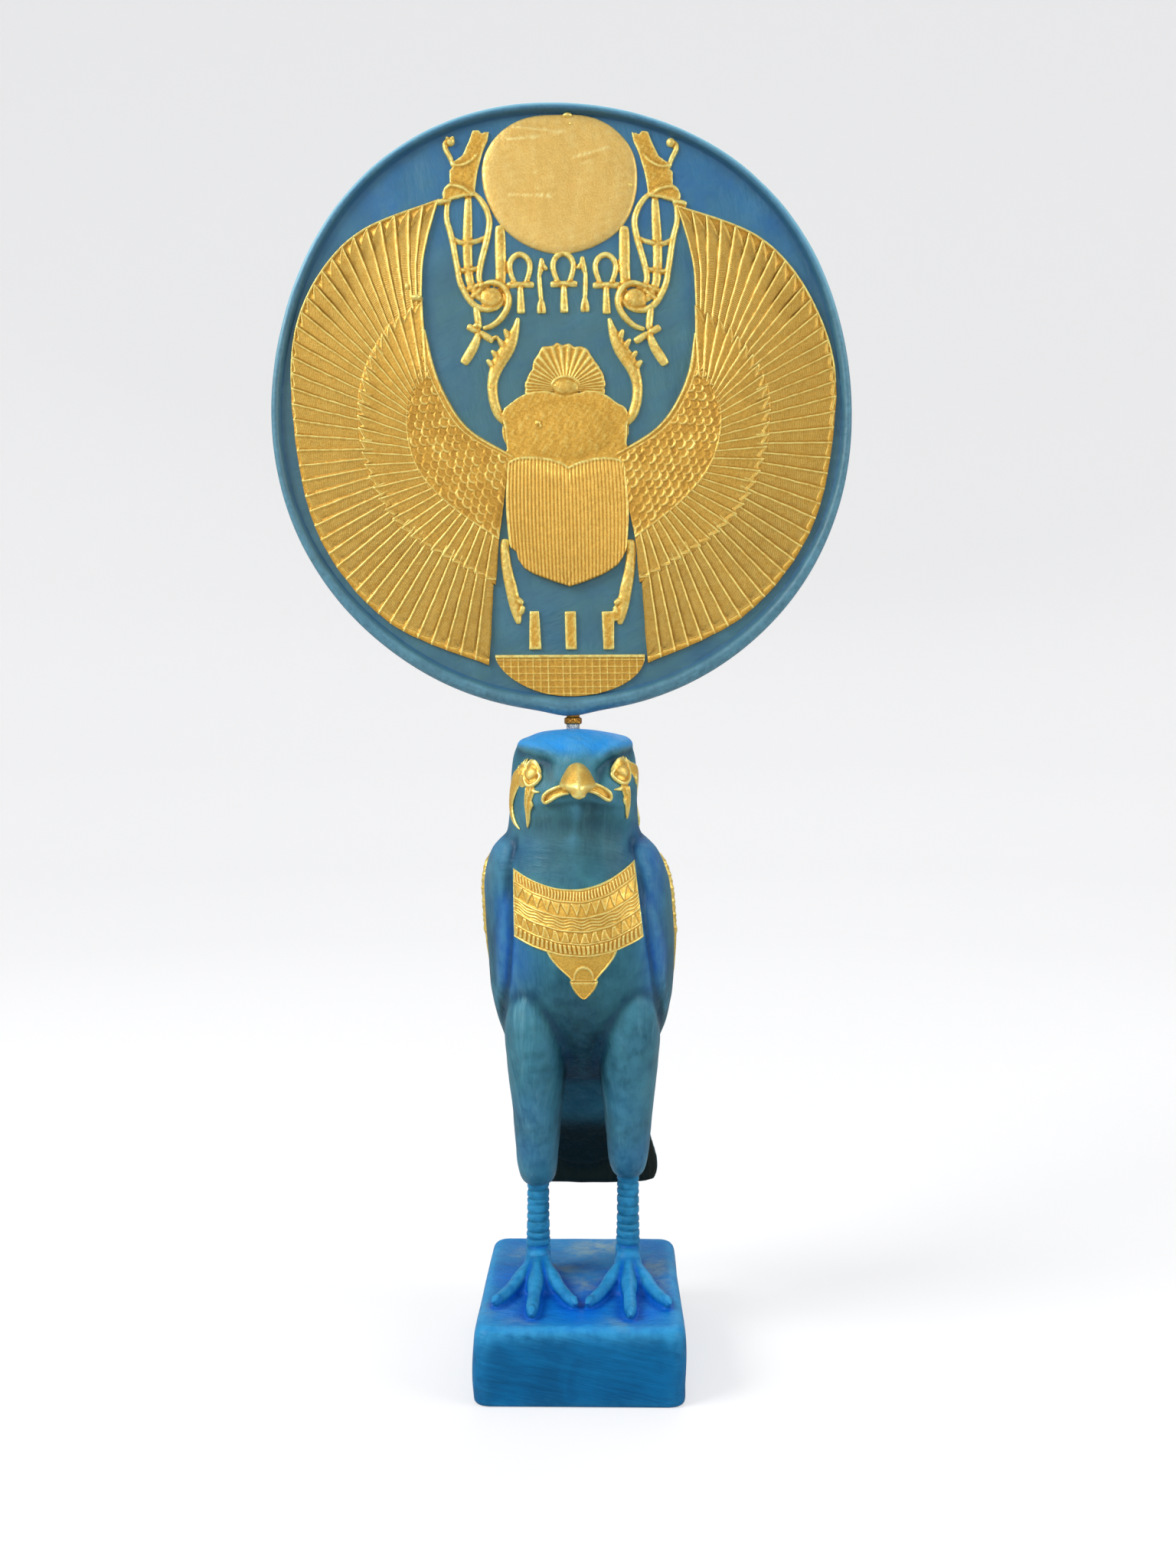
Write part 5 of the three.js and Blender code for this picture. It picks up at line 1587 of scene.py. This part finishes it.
# %% Wing cases
CASES_TOP = [
    [-24, -23], [-23.2, -20.6], [-20.9, -19.1], [-18.6, -18.5], [-15.5, -18.4], [-12.5, -18.5], [-9.4, -18.9],
    [-6.4, -19.5], [-3.4, -20.5], [-1.5, -21.4], [0.5, -23], [3.1, -21.7], [5, -21], [8.1, -20.2], [11.1, -19.6],
    [14.9, -19.4], [18, -19.7], [20.6, -20.3], [22.3, -21.6], [23.4, -24],
]
CASES_BOTTOM = [
    [-24.6, -51], [-23.3, -54.4], [-21.1, -56], [-20.4, -59.2], [-18.2, -62.6], [-14.8, -64.9], [-11.4, -66.3],
    [-7.7, -67.8], [-4.7, -68.9], [-1.6, -69.9], [-0.1, -70.5], [1.8, -69.9], [5.3, -68.9], [9.1, -67.5],
    [13, -66], [16, -64.4], [19.2, -62.2], [21.1, -59.6], [22.7, -56.4], [23.5, -52],
]
FLUTES = 33
# About how wide and high the cases are.
CASES_WIDTH, CASES_HEIGHT = 47, 48


def relief_sheet(name, columns, rows, shape_of, sink=1.8):
    """A sheet on the disc from shape_of(s, t), which gives across, up, height over the field, and tone."""
    def shape(s, t):
        x, z, high, tone = shape_of(s, t)
        return stood(x, FIELD - high, z), tone

    return toned_sheet(name, sheet(columns, rows), shape, (0, sink, 0))


def cases(s, t):
    """The fluted wing cases, with a plain edge and a notch at the tip."""
    top, bottom = np.array(CASES_TOP), np.array(CASES_BOTTOM)
    bow = 0.9 * np.sin(pi * np.clip(t, 0, 1)) * (2 * s - 1)
    x0 = mix(-23.9, 23.3, s)
    z = mix(np.interp(x0, top[:, 0], top[:, 1]), np.interp(x0, bottom[:, 0], bottom[:, 1]), t)
    flute = np.abs(np.cos(pi * s * FLUTES)) ** 2.2
    from_side = np.minimum(s, 1 - s) * CASES_WIDTH
    border = 1 - smooth(from_side, 0.7, 1.3)
    from_top = t * CASES_HEIGHT
    lip = 1 - smooth(from_top, 0.5, 1.2)
    plain = np.maximum(border, lip)
    from_middle = np.abs(x0 + 1.2)
    notch = 0.3 * np.exp(-((np.abs(from_middle - (z + 70) * 0.5) / 0.35) ** 2)) * (z < -65.5) * (from_middle < 2.4)
    high = 1.75 + 0.75 * (1 - (2 * s - 1) ** 2) * smooth(t, 0, 0.15) * (1 - 0.3 * smooth(t, 0.7, 1))
    high = high + mix(-0.34 * flute, 0.12, plain) - 0.5 * (1 - smooth(from_side, 0, 0.5)) - notch
    return x0 + bow, z, high, mix(flute * 1.3 - 0.45, -0.9, plain)


cases_mesh = relief_sheet("cases", FLUTES * 6, 70, cases, 2.4)


# %% Fan and basket
FAN = [
    [-15.4, 5.6], [-15.8, 9], [-15.4, 11.7], [-14.1, 14], [-12.7, 16.6], [-11.8, 19.9], [-10.3, 22.4], [-8.4, 25.1],
    [-6.4, 25.2], [-4.6, 25.5], [-2.8, 26.8], [-0.7, 25.4], [2, 26.1], [4.3, 24.9], [7, 24.8], [9.4, 23.4],
    [10.7, 21.3], [12, 18.6], [13.6, 16.9], [14.7, 14.4], [15.7, 11.7], [15.6, 8.2], [15.2, 5.2],
]
FAN_CENTRE = [0.1, 8.4]
fan_line = np.array(FAN) - FAN_CENTRE
fan_angle = np.unwrap(np.arctan2(fan_line[:, 1], fan_line[:, 0] + 1e-6))
fan_reach = np.hypot(*fan_line.T)
RIBS = 25


def fan(s, t):
    """The ribs of the fan, closer together at its ends."""
    spread = s - 0.42 * np.sin(2 * pi * s) / (2 * pi)
    angle = mix(fan_angle[0], fan_angle[-1], spread)
    order = np.argsort(fan_angle)
    rib = np.abs(np.cos(pi * s * RIBS)) ** 3
    scallop = 0.35 * np.abs(np.sin(pi * s * 11))
    reach = mix(4.6, np.interp(angle, fan_angle[order], fan_reach[order]) + scallop, t)
    edge = np.exp(-(((1 - t) * 13 - 0.45) / 0.4) ** 2)
    high = 0.75 + 0.35 * (1 - t) + 0.3 * rib * (1 - smooth(t, 0.9, 1)) + 0.2 * edge
    x, z = FAN_CENTRE[0] + reach * np.cos(angle), FAN_CENTRE[1] + reach * np.sin(angle)
    return x, z, high, 0.5 - 1.5 * np.maximum(rib, edge)


fan_mesh = relief_sheet("fan", RIBS * 8, 20, fan)


def line_on(value, pitch, width):
    """1 on evenly spaced lines, falling to 0 between them."""
    return np.exp(-((((value / pitch - np.round(value / pitch)) * pitch) / width) ** 2))


BASKET_LEFT, BASKET_RIGHT = -30.6, 28.9
BASKET_TOP = -97.7
BASKET_DEPTH = 16.3
# How far apart the basket's upright and level lines are.
WEAVE_ACROSS, WEAVE_DOWN = 2.95, 2.7


def basket(s, t):
    """The basket: a bowl of crossed lines under a lip."""
    x = mix(BASKET_LEFT, BASKET_RIGHT, 0.5 - 0.5 * np.cos(pi * s))
    top = BASKET_TOP - 0.022 * (x + 1)
    fullness = mix(0.62, 0.5, smooth(x, -20, 10))
    deep = BASKET_DEPTH * np.clip(1 - ((x + 0.85) / 29.85) ** 2, 0, 1) ** fullness + 0.25
    z = top - deep * t
    down = top - z
    level = line_on(down - 2.0, WEAVE_DOWN, 0.17) * smooth(down, 1.2, 1.6)
    grid = np.maximum(line_on(x + 0.8, WEAVE_ACROSS, 0.19), level)
    lip = 1 - smooth(down, 0.9, 1.4)
    high = 0.85 + 0.22 * grid * (1 - lip) + 0.45 * lip
    return x, z, high, 0.45 - 1.3 * np.maximum(grid, lip)


basket_mesh = relief_sheet("basket", 230, 60, basket)
piece("scarab_relief", joined("scarab_relief", [cases_mesh, fan_mesh, basket_mesh]), gold)


# %% Plates, strands and domes on the field
# How much of a strand's width is lost when its cast is eased.
SMOOTHING_TAKES = 1.0


def plate(outline, height, curved=0):
    """A flat raised figure with this outline, which is smoothed through its points if curved is given."""
    line = np.array(outline, float)
    if curved:
        line = between(np.vstack([line, line[:1]]), np.linspace(0, 1, curved, endpoint=False))
    form = bmesh.new()
    corners = [form.verts.new((x, FIELD + 0.6, z)) for x, z in line]
    face = bmesh.ops.contextual_create(form, geom=corners)["faces"][0]
    raised = bmesh.ops.extrude_face_region(form, geom=[face])["geom"]
    lifted = [v for v in raised if isinstance(v, bmesh.types.BMVert)]
    bmesh.ops.translate(form, vec=(0, -0.6 - height, 0), verts=lifted)
    return form


def strand(points, width, height=1.15, along=36, roundness=0.18):
    """A rounded strand on the field along a line, with its width at one or more places. Smoothing draws it in."""
    widths = rows_of(width) + SMOOTHING_TAKES
    line = [[x, FIELD + 0.15, z] for x, z in points]
    return limb(line, lambda share: (between(widths, share)[:, 0] / 2, height + 0.15 + 0 * share), 14, along,
                roundness, (0, -1, 0))


def dome(x, z, half_x, half_z, height):
    """A low oval dome on the field."""
    form = ball(48, 24)
    move(form, lambda p: np.stack([x + half_x * p[:, 0], FIELD - height * p[:, 2], z + half_z * p[:, 1]], 1))
    return form


print("plates, strands and domes ready")

# %% Outlines and lines of the figures, on the left of the disc's centre
CROWN = [[-34.2, 112.2], [-31.7, 112.3], [-30.6, 110.8], [-29.6, 111.5], [-27.7, 111.6], [-28.5, 107.7], [-29.3, 106.2],
         [-30.6, 103.1], [-31.7, 99.3], [-32.6, 96.2], [-33.2, 93.1], [-33.9, 88.4], [-33.9, 86.1], [-44.0, 86.3],
         [-43.9, 92.6], [-43.9, 96.5], [-43.8, 99.2], [-42.6, 99.6], [-40.4, 99.6], [-38.4, 102.5], [-35.9, 107.8]]
CURL = [[-42.3, 98.6], [-43.6, 102.0], [-45.1, 105.0], [-45.5, 107.2], [-44.6, 108.6]]
CROWN_RIDGE = [[-43.4, 99.1], [-40.4, 98.4], [-37.7, 98.8], [-34.6, 100.5], [-31.6, 103.9]]
SNAKE_HEAD = [[-46.8, 88.0], [-45.3, 90.4], [-43.0, 91.6], [-40.6, 91.4], [-38.0, 90.1], [-35.8, 88.6], [-34.6, 86.9],
              [-36.9, 86.1], [-39.2, 85.8], [-41.6, 85.1], [-43.9, 84.8], [-46.0, 85.3], [-47.0, 86.6]]
BROW_LINE = [[-46.2, 88.6], [-43.8, 90.2], [-41.0, 90.0], [-38.0, 88.8], [-35.4, 86.8]]
HOOD_RIGHT = [[-36.4, 88.2], [-33.4, 86.5], [-31.1, 83.7], [-29.3, 80.1], [-28.5, 75.8], [-29.4, 70.0], [-30.8, 65.0],
              [-32.3, 59.6], [-33.2, 54.9], [-32.9, 52.2], [-31.2, 50.2], [-29.2, 50.6]]
HOOD_LEFT = [[-43.4, 86.4], [-45.2, 82.7], [-45.5, 77.1], [-44.4, 72.7], [-43.3, 67.7], [-42.5, 62.2], [-41.7, 57.5],
             [-40.9, 52.4], [-39.0, 47.9], [-36.8, 44.3], [-34.0, 41.9], [-30.3, 41.0], [-26.4, 41.9], [-23.6, 44.6],
             [-22.5, 47.7]]
SNAKE_RIB = [[-36.7, 86.5], [-37.1, 76.8], [-37.5, 66.7], [-37.4, 57.4], [-36.5, 51.1], [-33.6, 46.0], [-30.2, 44.8]]
SNAKE_BARS = [[[-43.5, 69.8], [-40.5, 68.0], [-37.4, 67.8], [-33.4, 68.4], [-30.3, 69.8]],
              [[-41.7, 57.2], [-39.6, 56.7], [-36.9, 57.0], [-32.8, 57.4]],
              [[-39.0, 48.6], [-35.9, 49.6], [-33.0, 51.0]], [[-37.4, 45.4], [-34.6, 47.2], [-31.6, 49.6]]]
COIL = [[-33.4, 50.0], [-30.0, 51.3], [-27.3, 51.5], [-24.4, 50.4], [-22.3, 47.6], [-21.6, 44.1], [-22.7, 40.3],
        [-25.3, 36.8], [-28.5, 34.4], [-32.4, 33.3]]
NECK_BAR = [[-24.3, 74.6], [-24.4, 64.8], [-24.4, 57.1], [-24.8, 49.6]]
HANGING = [([[-34.7, 42.4], [-34.2, 37.9], [-33.7, 33.2]], 2.0),
           ([[-38.4, 34.6], [-36, 33.2], [-33.5, 32.0]], [2.2, 1.6]),
           ([[-33.5, 32.0], [-31, 30.2], [-28.0, 28.2]], [1.6, 2.3]),
           ([[-33.5, 32.4], [-36.1, 26.2], [-40.5, 19.3]], [1.8, 3.0, 3.6])]
FORELEG = [[-22.0, -5.5], [-26.2, -1.8], [-28.3, 3.2], [-29.0, 8.6], [-28.6, 13.2], [-27.0, 18.0], [-24.8, 21.8],
           [-22.4, 25.4], [-20.4, 29.6], [-18.9, 33.8], [-18.0, 37.4]]
FORELEG_WIDTHS = [3.0, 3.4, 3.3, 3.3, 3.5, 4.5, 5.1, 4.9, 3.9, 2.3, 1.1]
TEETH = [([-27.8, 17.6], [-31.0, 20.9]), ([-25.8, 20.6], [-29.0, 24.6]), ([-23.4, 25.0], [-26.4, 29.4]),
         ([-21.6, 28.8], [-23.6, 33.0])]
THORAX = [[-24.5, 1.1], [-21.8, 3.1], [-18.7, 5.3], [-15.6, 6.8], [-11.8, 7.5], [-7.2, 7.5], [-5.0, 6.9], [0.3, 5.4],
          [5.7, 6.6], [8.8, 7.3], [13.3, 6.8], [17.1, 4.9], [20.5, 2.2], [24.2, -0.4], [24.4, -6.9], [23.9, -13.7],
          [22.9, -21.5], [0.7, -24.2], [-23.4, -21.9], [-23.8, -15.5], [-24.3, -8.6], [-25.2, -2.5]]
HINDLEG = [([[-25.6, -50.4], [-25.8, -55.9], [-25.0, -63.5], [-23.6, -70.4], [-22.3, -77.3], [-21.4, -82.2],
             [-20.9, -85.0]], [3.6, 3.4, 3.5, 3.9, 3.8, 2.8, 1.4]),
           ([[-22.4, -74.6], [-20.4, -75.9], [-18.8, -76.6]], [2.6, 2.0, 1.1]),
           ([[-21.2, -80.6], [-19.9, -79.8], [-19.0, -77.6]], [2.0, 1.8, 1.3])]
ANKH_LOOP = [[-1.4, -12.2], [-3.6, -6.6], [-4.0, -2.8], [-2.6, 0.0], [0, 1.2], [2.6, 0.0], [4.0, -2.8], [3.6, -6.6],
             [1.4, -12.2]]
print("snake, crown, legs and body drawn")

# %% Signs, pillars and twins
# Each sign is strands drawn about the sign's own place: a line, its widths and height, and then, where they aren't
# the usual ones, the number of its steps and the roundness of its ends.
ANKH = [(ANKH_LOOP, 1.45, 1.2, 70, 0.1), ([[-5.4, -11.0], [0, -10.9], [5.6, -11.1]], [2.4, 1.5, 2.4], 1.15),
        ([[0, -10.6], [0, -17], [0, -22.6]], [1.5, 2.0, 2.9], 1.15, 36, 0.1)]
SCEPTRE = [([[-0.6, 5], [-0.3, -2], [0, -6]], [1.1, 1.1, 1.2], 1.1),
           ([[-0.4, 4.2], [0.5, 8.4], [0.5, 11]], [1.4, 1.6, 0.7], 1.1),
           ([[0.2, 8.8], [1.7, 7.2], [2.7, 6.0]], [1.5, 1.0, 0.5], 1.0)]
FORK = [([[0, -5.6], [way * 0.75, -8.6], [way * 1.0, -11.4]], [1.2, 1.1, 0.9], 1.1) for way in (-1, 1)]
ANKHS = [(-16.8, 61.4), (0.5, 61.3), (17.4, 60.4)]
SCEPTRES = [(-8.6, 50.0, 1), (8.8, 50.2, -1)]
# The signs below the scarab: middle, top, and half widths at the top and the bottom.
PILLARS = [(-14.6, -79.9, 1.9, 2.45), (-0.3, -80.3, 2.25, 2.2), (14.7, -80.7, 2.5, 2.15)]
# Figures that stand on both sides: how each is made, and from what.
TWINS = [
    (plate, CROWN, 1.0), (strand, CURL, [1.3, 1.2, 1.4]), (dome, -43.3, 108.2, 1.9, 1.9, 1.8),
    (strand, CROWN_RIDGE, 1.3, 1.5), (plate, SNAKE_HEAD, 1.3, 40), (strand, BROW_LINE, 1.2, 1.9),
    (strand, HOOD_RIGHT, [1.6, 1.7, 1.7, 1.5], 1.3, 60), (strand, HOOD_LEFT, [1.7, 1.7, 1.6, 1.8, 1.6], 1.3, 80),
    (strand, SNAKE_RIB, [3.2, 3.2, 2.8, 2.2, 1.8], 1.1, 50), (dome, -28.4, 45.3, 4.7, 4.3, 1.9),
    (strand, COIL, [1.4, 1.8, 1.9, 1.9, 1.8, 1.6], 1.9, 60), (strand, NECK_BAR, [4.2, 3.7, 3.6, 4.0], 1.2),
    (strand, FORELEG, FORELEG_WIDTHS, 1.5, 90, 0.1),
    *[(strand, tooth, [2.8, 0.5], 1.4, 16, 0.1) for tooth in TEETH],
    *[(strand, bar, 1.3, 1.1) for bar in SNAKE_BARS],
    *[(strand, line, widths, 1.3) for line, widths in HANGING + HINDLEG],
    (strand, [[-49.4, 83.8], [-47.0, 84.3], [-43.6, 84.6]], [1.4, 1.6, 1.2], 1.6),
]


def to_right(p):
    """A figure's points, brought from the left side to the right."""
    spot = mirrored(p[:, [0, 2]], 1, 0.3, 0.016, 0.06)
    return np.stack([spot[:, 0], p[:, 1], spot[:, 1]], 1)


def sign(strands, x, z, way=1):
    """The strands of a sign brought to its place, and mirrored if way is -1."""
    return [strand([[x + way * a, z + b] for a, b in line], *how) for line, *how in strands]


figures = []
for make, *how in TWINS:
    left, right = make(*how), make(*how)
    move(right, to_right)
    figures += [left, right]
for x, z in ANKHS:
    figures += sign(ANKH, x, z)
for x, z, way in SCEPTRES:
    figures += sign(SCEPTRE, x, z, way) + sign(FORK, x, z)
for x, top, half_top, half_low in PILLARS:
    figures.append(plate([[x - half_top, top], [x + half_top, top], [x + half_low, top - 15.3],
                          [x - half_low, top - 15.2]], 1.2))
figures += [plate(THORAX, 1.35, 120), dome(-0.3, -8.0, 25.5, 15.0, 2.15), dome(0.2, 9.3, 6.2, 4.0, 2.0),
            strand([[-5.9, 9.3], [-3.6, 12.2], [0.2, 13.2], [4.0, 12.2], [6.4, 9.3]], 0.8, 1.7),
            plate([[16.8, -84.6], [19.6, -84.4], [19.4, -81.6], [17, -81.2]], 1.1)]
print("figures so far:", len(figures))

# %% Blobs, and strands along the wings' edges
# Blobs of spilt casting and paint: across, up, half sizes and height.
BLOBS = [
    (3.8, 117.2, 2.2, 1.3, 2.2), (4.9, 113.6, 0.9, 0.9, 2.3), (28.1, 88.7, 1.0, 1.2, 2.2), (-58.4, 45.9, 2.6, 1.7, 3.2),
    (-11, -5.2, 1.1, 1.1, 2.9), (-10.2, -6.4, 0.5, 1, 2.9), (-62, 50.6, 1.1, 1.9, 2.3), (-44.4, 109.2, 0.8, 0.8, 2.3),
    (-42.2, 109.4, 0.7, 0.7, 2.3), (-34.6, 34.4, 1.6, 1.2, 1.9), (-27.0, 29.6, 1.3, 0.9, 1.8),
]
figures += [dome(*blob) for blob in BLOBS]
# The strands of each wing's inner edge: where they start, how far inwards they lie, their widths and height.
EDGE_STRANDS = [(0.44, 0.5, [2.0, 2.6, 2.6, 2.6], 1.75), (0.44, 1.4, [0.3, 0.4, 0.4, 0.4], 2.2),
                (0.5, -0.6, [0.1, 0.1, 0.1, 0.1], 2.0)]
for side in (-1, 1):
    for start, shift, wide, high in EDGE_STRANDS:
        edge_points = even(WING_EDGE, np.linspace(start, 1.0, 12)) + [WING_SHIFT + shift, 0.3 * shift]
        edge_points = right_wing(edge_points, side)
        figures.append(strand(edge_points.tolist(), wide, high, 100, 0.12))
    top_line = right_wing(even(WING_RIM, np.linspace(0.0, 0.42, 14)) + [WING_SHIFT + 0.2, -0.4], side)
    figures.append(strand(top_line.tolist(), [0.6, 0.4, 0.3, 0.1], 1.9, 120, 0.12))
print("figures in all:", len(figures))

# %% Casting the figures
# Figures whose middle is above this height make one piece, and those below it another.
SPLIT = 40


def fused(name, forms):
    """These figures cast as one, with handwork in their surface."""
    mesh = cast(name, gathered(forms), SIGN_GRAIN, 2, 0.38)
    reshape(mesh, lambda p: p + np.outer(0.09 * wander(p, 5, 71) + 0.05 * wander(p, 2.2, 72), [0, 1, 0]))
    mark(mesh, "hollow", hollows(mesh, 6, 0.14))
    reshape(mesh, lambda p: stood(*p.T))
    piece(name, mesh, gold)


upper = [form for form in figures if np.mean([v.co.z for v in form.verts]) > SPLIT]
lower = [form for form in figures if np.mean([v.co.z for v in form.verts]) <= SPLIT]
fused("cobras_and_signs", upper)
fused("scarab_and_signs", lower)

# %% [markdown]
# The sun is a wide low dome with a rounded edge. Its gold shows drag marks and small dents.

# %% The sun
# Share of the way to the edge, and height over the field.
SUN = [(0, 1.95), (0.35, 1.9), (0.7, 1.75), (0.88, 1.5), (0.95, 1.2), (0.985, 0.8), (1.0, 0.2), (1.0, -0.6),
       (0.9, -0.7), (0, -0.7)]
SUN_RINGS = 60
SUN_CENTRE = (-0.3, 91.0)
SUN_HALF_WIDTH = 31.2
SUN_HALF_UP, SUN_HALF_DOWN = 27.0, 28.6
# Scores in the gold: from, to, and how high each stands.
SCORES = [((-20, 86), (-2, 85), 0.16), ((-20, 108), (0, 109), 0.14), ((-18, 113), (3, 110), 0.1),
          ((6, 100), (20, 104), 0.12), ((9, 99), (16, 101), -0.14), ((-10, 104), (-9, 88), 0.07)]
sun_rows = between(SUN, np.linspace(0, 1, SUN_RINGS + 1))


def turn_sun(p):
    ring = np.round(np.arccos(np.clip(p[:, 2], -1, 1)) / pi * SUN_RINGS).astype(int)
    angle = np.arctan2(p[:, 1], p[:, 0])
    share, high = sun_rows[ring].T
    c = np.cos(angle) / SUN_HALF_WIDTH
    s = np.sin(angle) / np.where(np.sin(angle) > 0, SUN_HALF_UP, SUN_HALF_DOWN)
    squareness = mix(2.05, 2.4, smooth(np.sin(angle), -0.2, 0.3))
    reach = (np.abs(c) ** squareness + np.abs(s) ** squareness) ** (-1 / squareness)
    flattened = 0.06 * np.exp(-(((np.mod(angle, 2 * pi) - 3.7) / 0.6) ** 2))
    reach = reach * (1 - flattened + 0.006 * np.sin(7 * angle))
    x = SUN_CENTRE[0] + reach * share * np.cos(angle)
    z = SUN_CENTRE[1] + reach * share * np.sin(angle)
    spots = np.stack([x, 0 * x, z], 1)
    high = high + 0.07 * wander(spots, 16, 81) + 0.03 * wander(spots, 4, 82)
    for (ax, az), (bx, bz), deep in SCORES:
        along = np.clip(((x - ax) * (bx - ax) + (z - az) * (bz - az)) / ((bx - ax) ** 2 + (bz - az) ** 2), 0, 1)
        far = np.hypot(x - ax - along * (bx - ax), z - az - along * (bz - az))
        high = high + deep * np.exp(-((far / 0.5) ** 2))
    return np.stack([x, FIELD - high, z], 1)


sun = ball(220, SUN_RINGS)
move(sun, turn_sun)
sun_mesh = meshed("sun", sun)
mark(sun_mesh, "hollow", hollows(sun_mesh, 8, 0.16))
reshape(sun_mesh, lambda p: stood(*p.T))
sun_gold = gold_paint("sun_gold", seen(238, 198, 108), seen(255, 238, 160), seen(206, 152, 72), 0.42, 0.5)
piece("sun", sun_mesh, sun_gold)

# %% [markdown]
# ## The pin
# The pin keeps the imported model's own shape. Its collar is brass and the rod below it is bare steel.

# %% Pin metal
# Where the brass fades into steel, on the way down, in metres.
BRASS_ENDS, STEEL_STARTS = 0.2524, 0.2521
pin_metal, tree, shader = new_material("pin_metal", seen(205, 160, 80), 0.3, 1.0)
up = node(tree, "ShaderNodeSeparateXYZ", Vector=place_at(tree)).outputs[2]
steel = ranged(tree, up, BRASS_ENDS, STEEL_STARTS)
marks = placed(tree, cloud, Scale=700.0, Low=0.35, High=0.65).outputs[0]
brass = mixed(tree, marks, seen(214, 160, 70), seen(150, 92, 40))
tree.links.new(mixed(tree, steel, brass, seen(196, 200, 202)), shader.inputs["Base Color"])
tree.links.new(ranged(tree, marks, 0, 1, 0.24, 0.42), shader.inputs["Roughness"])
bumped(tree, shader, marks, 0.0002)
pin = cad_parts["pin"]
pin.data.materials.clear()
pin.data.materials.append(pin_metal)
print("pin keeps its shape:", len(pin.data.polygons), "faces")
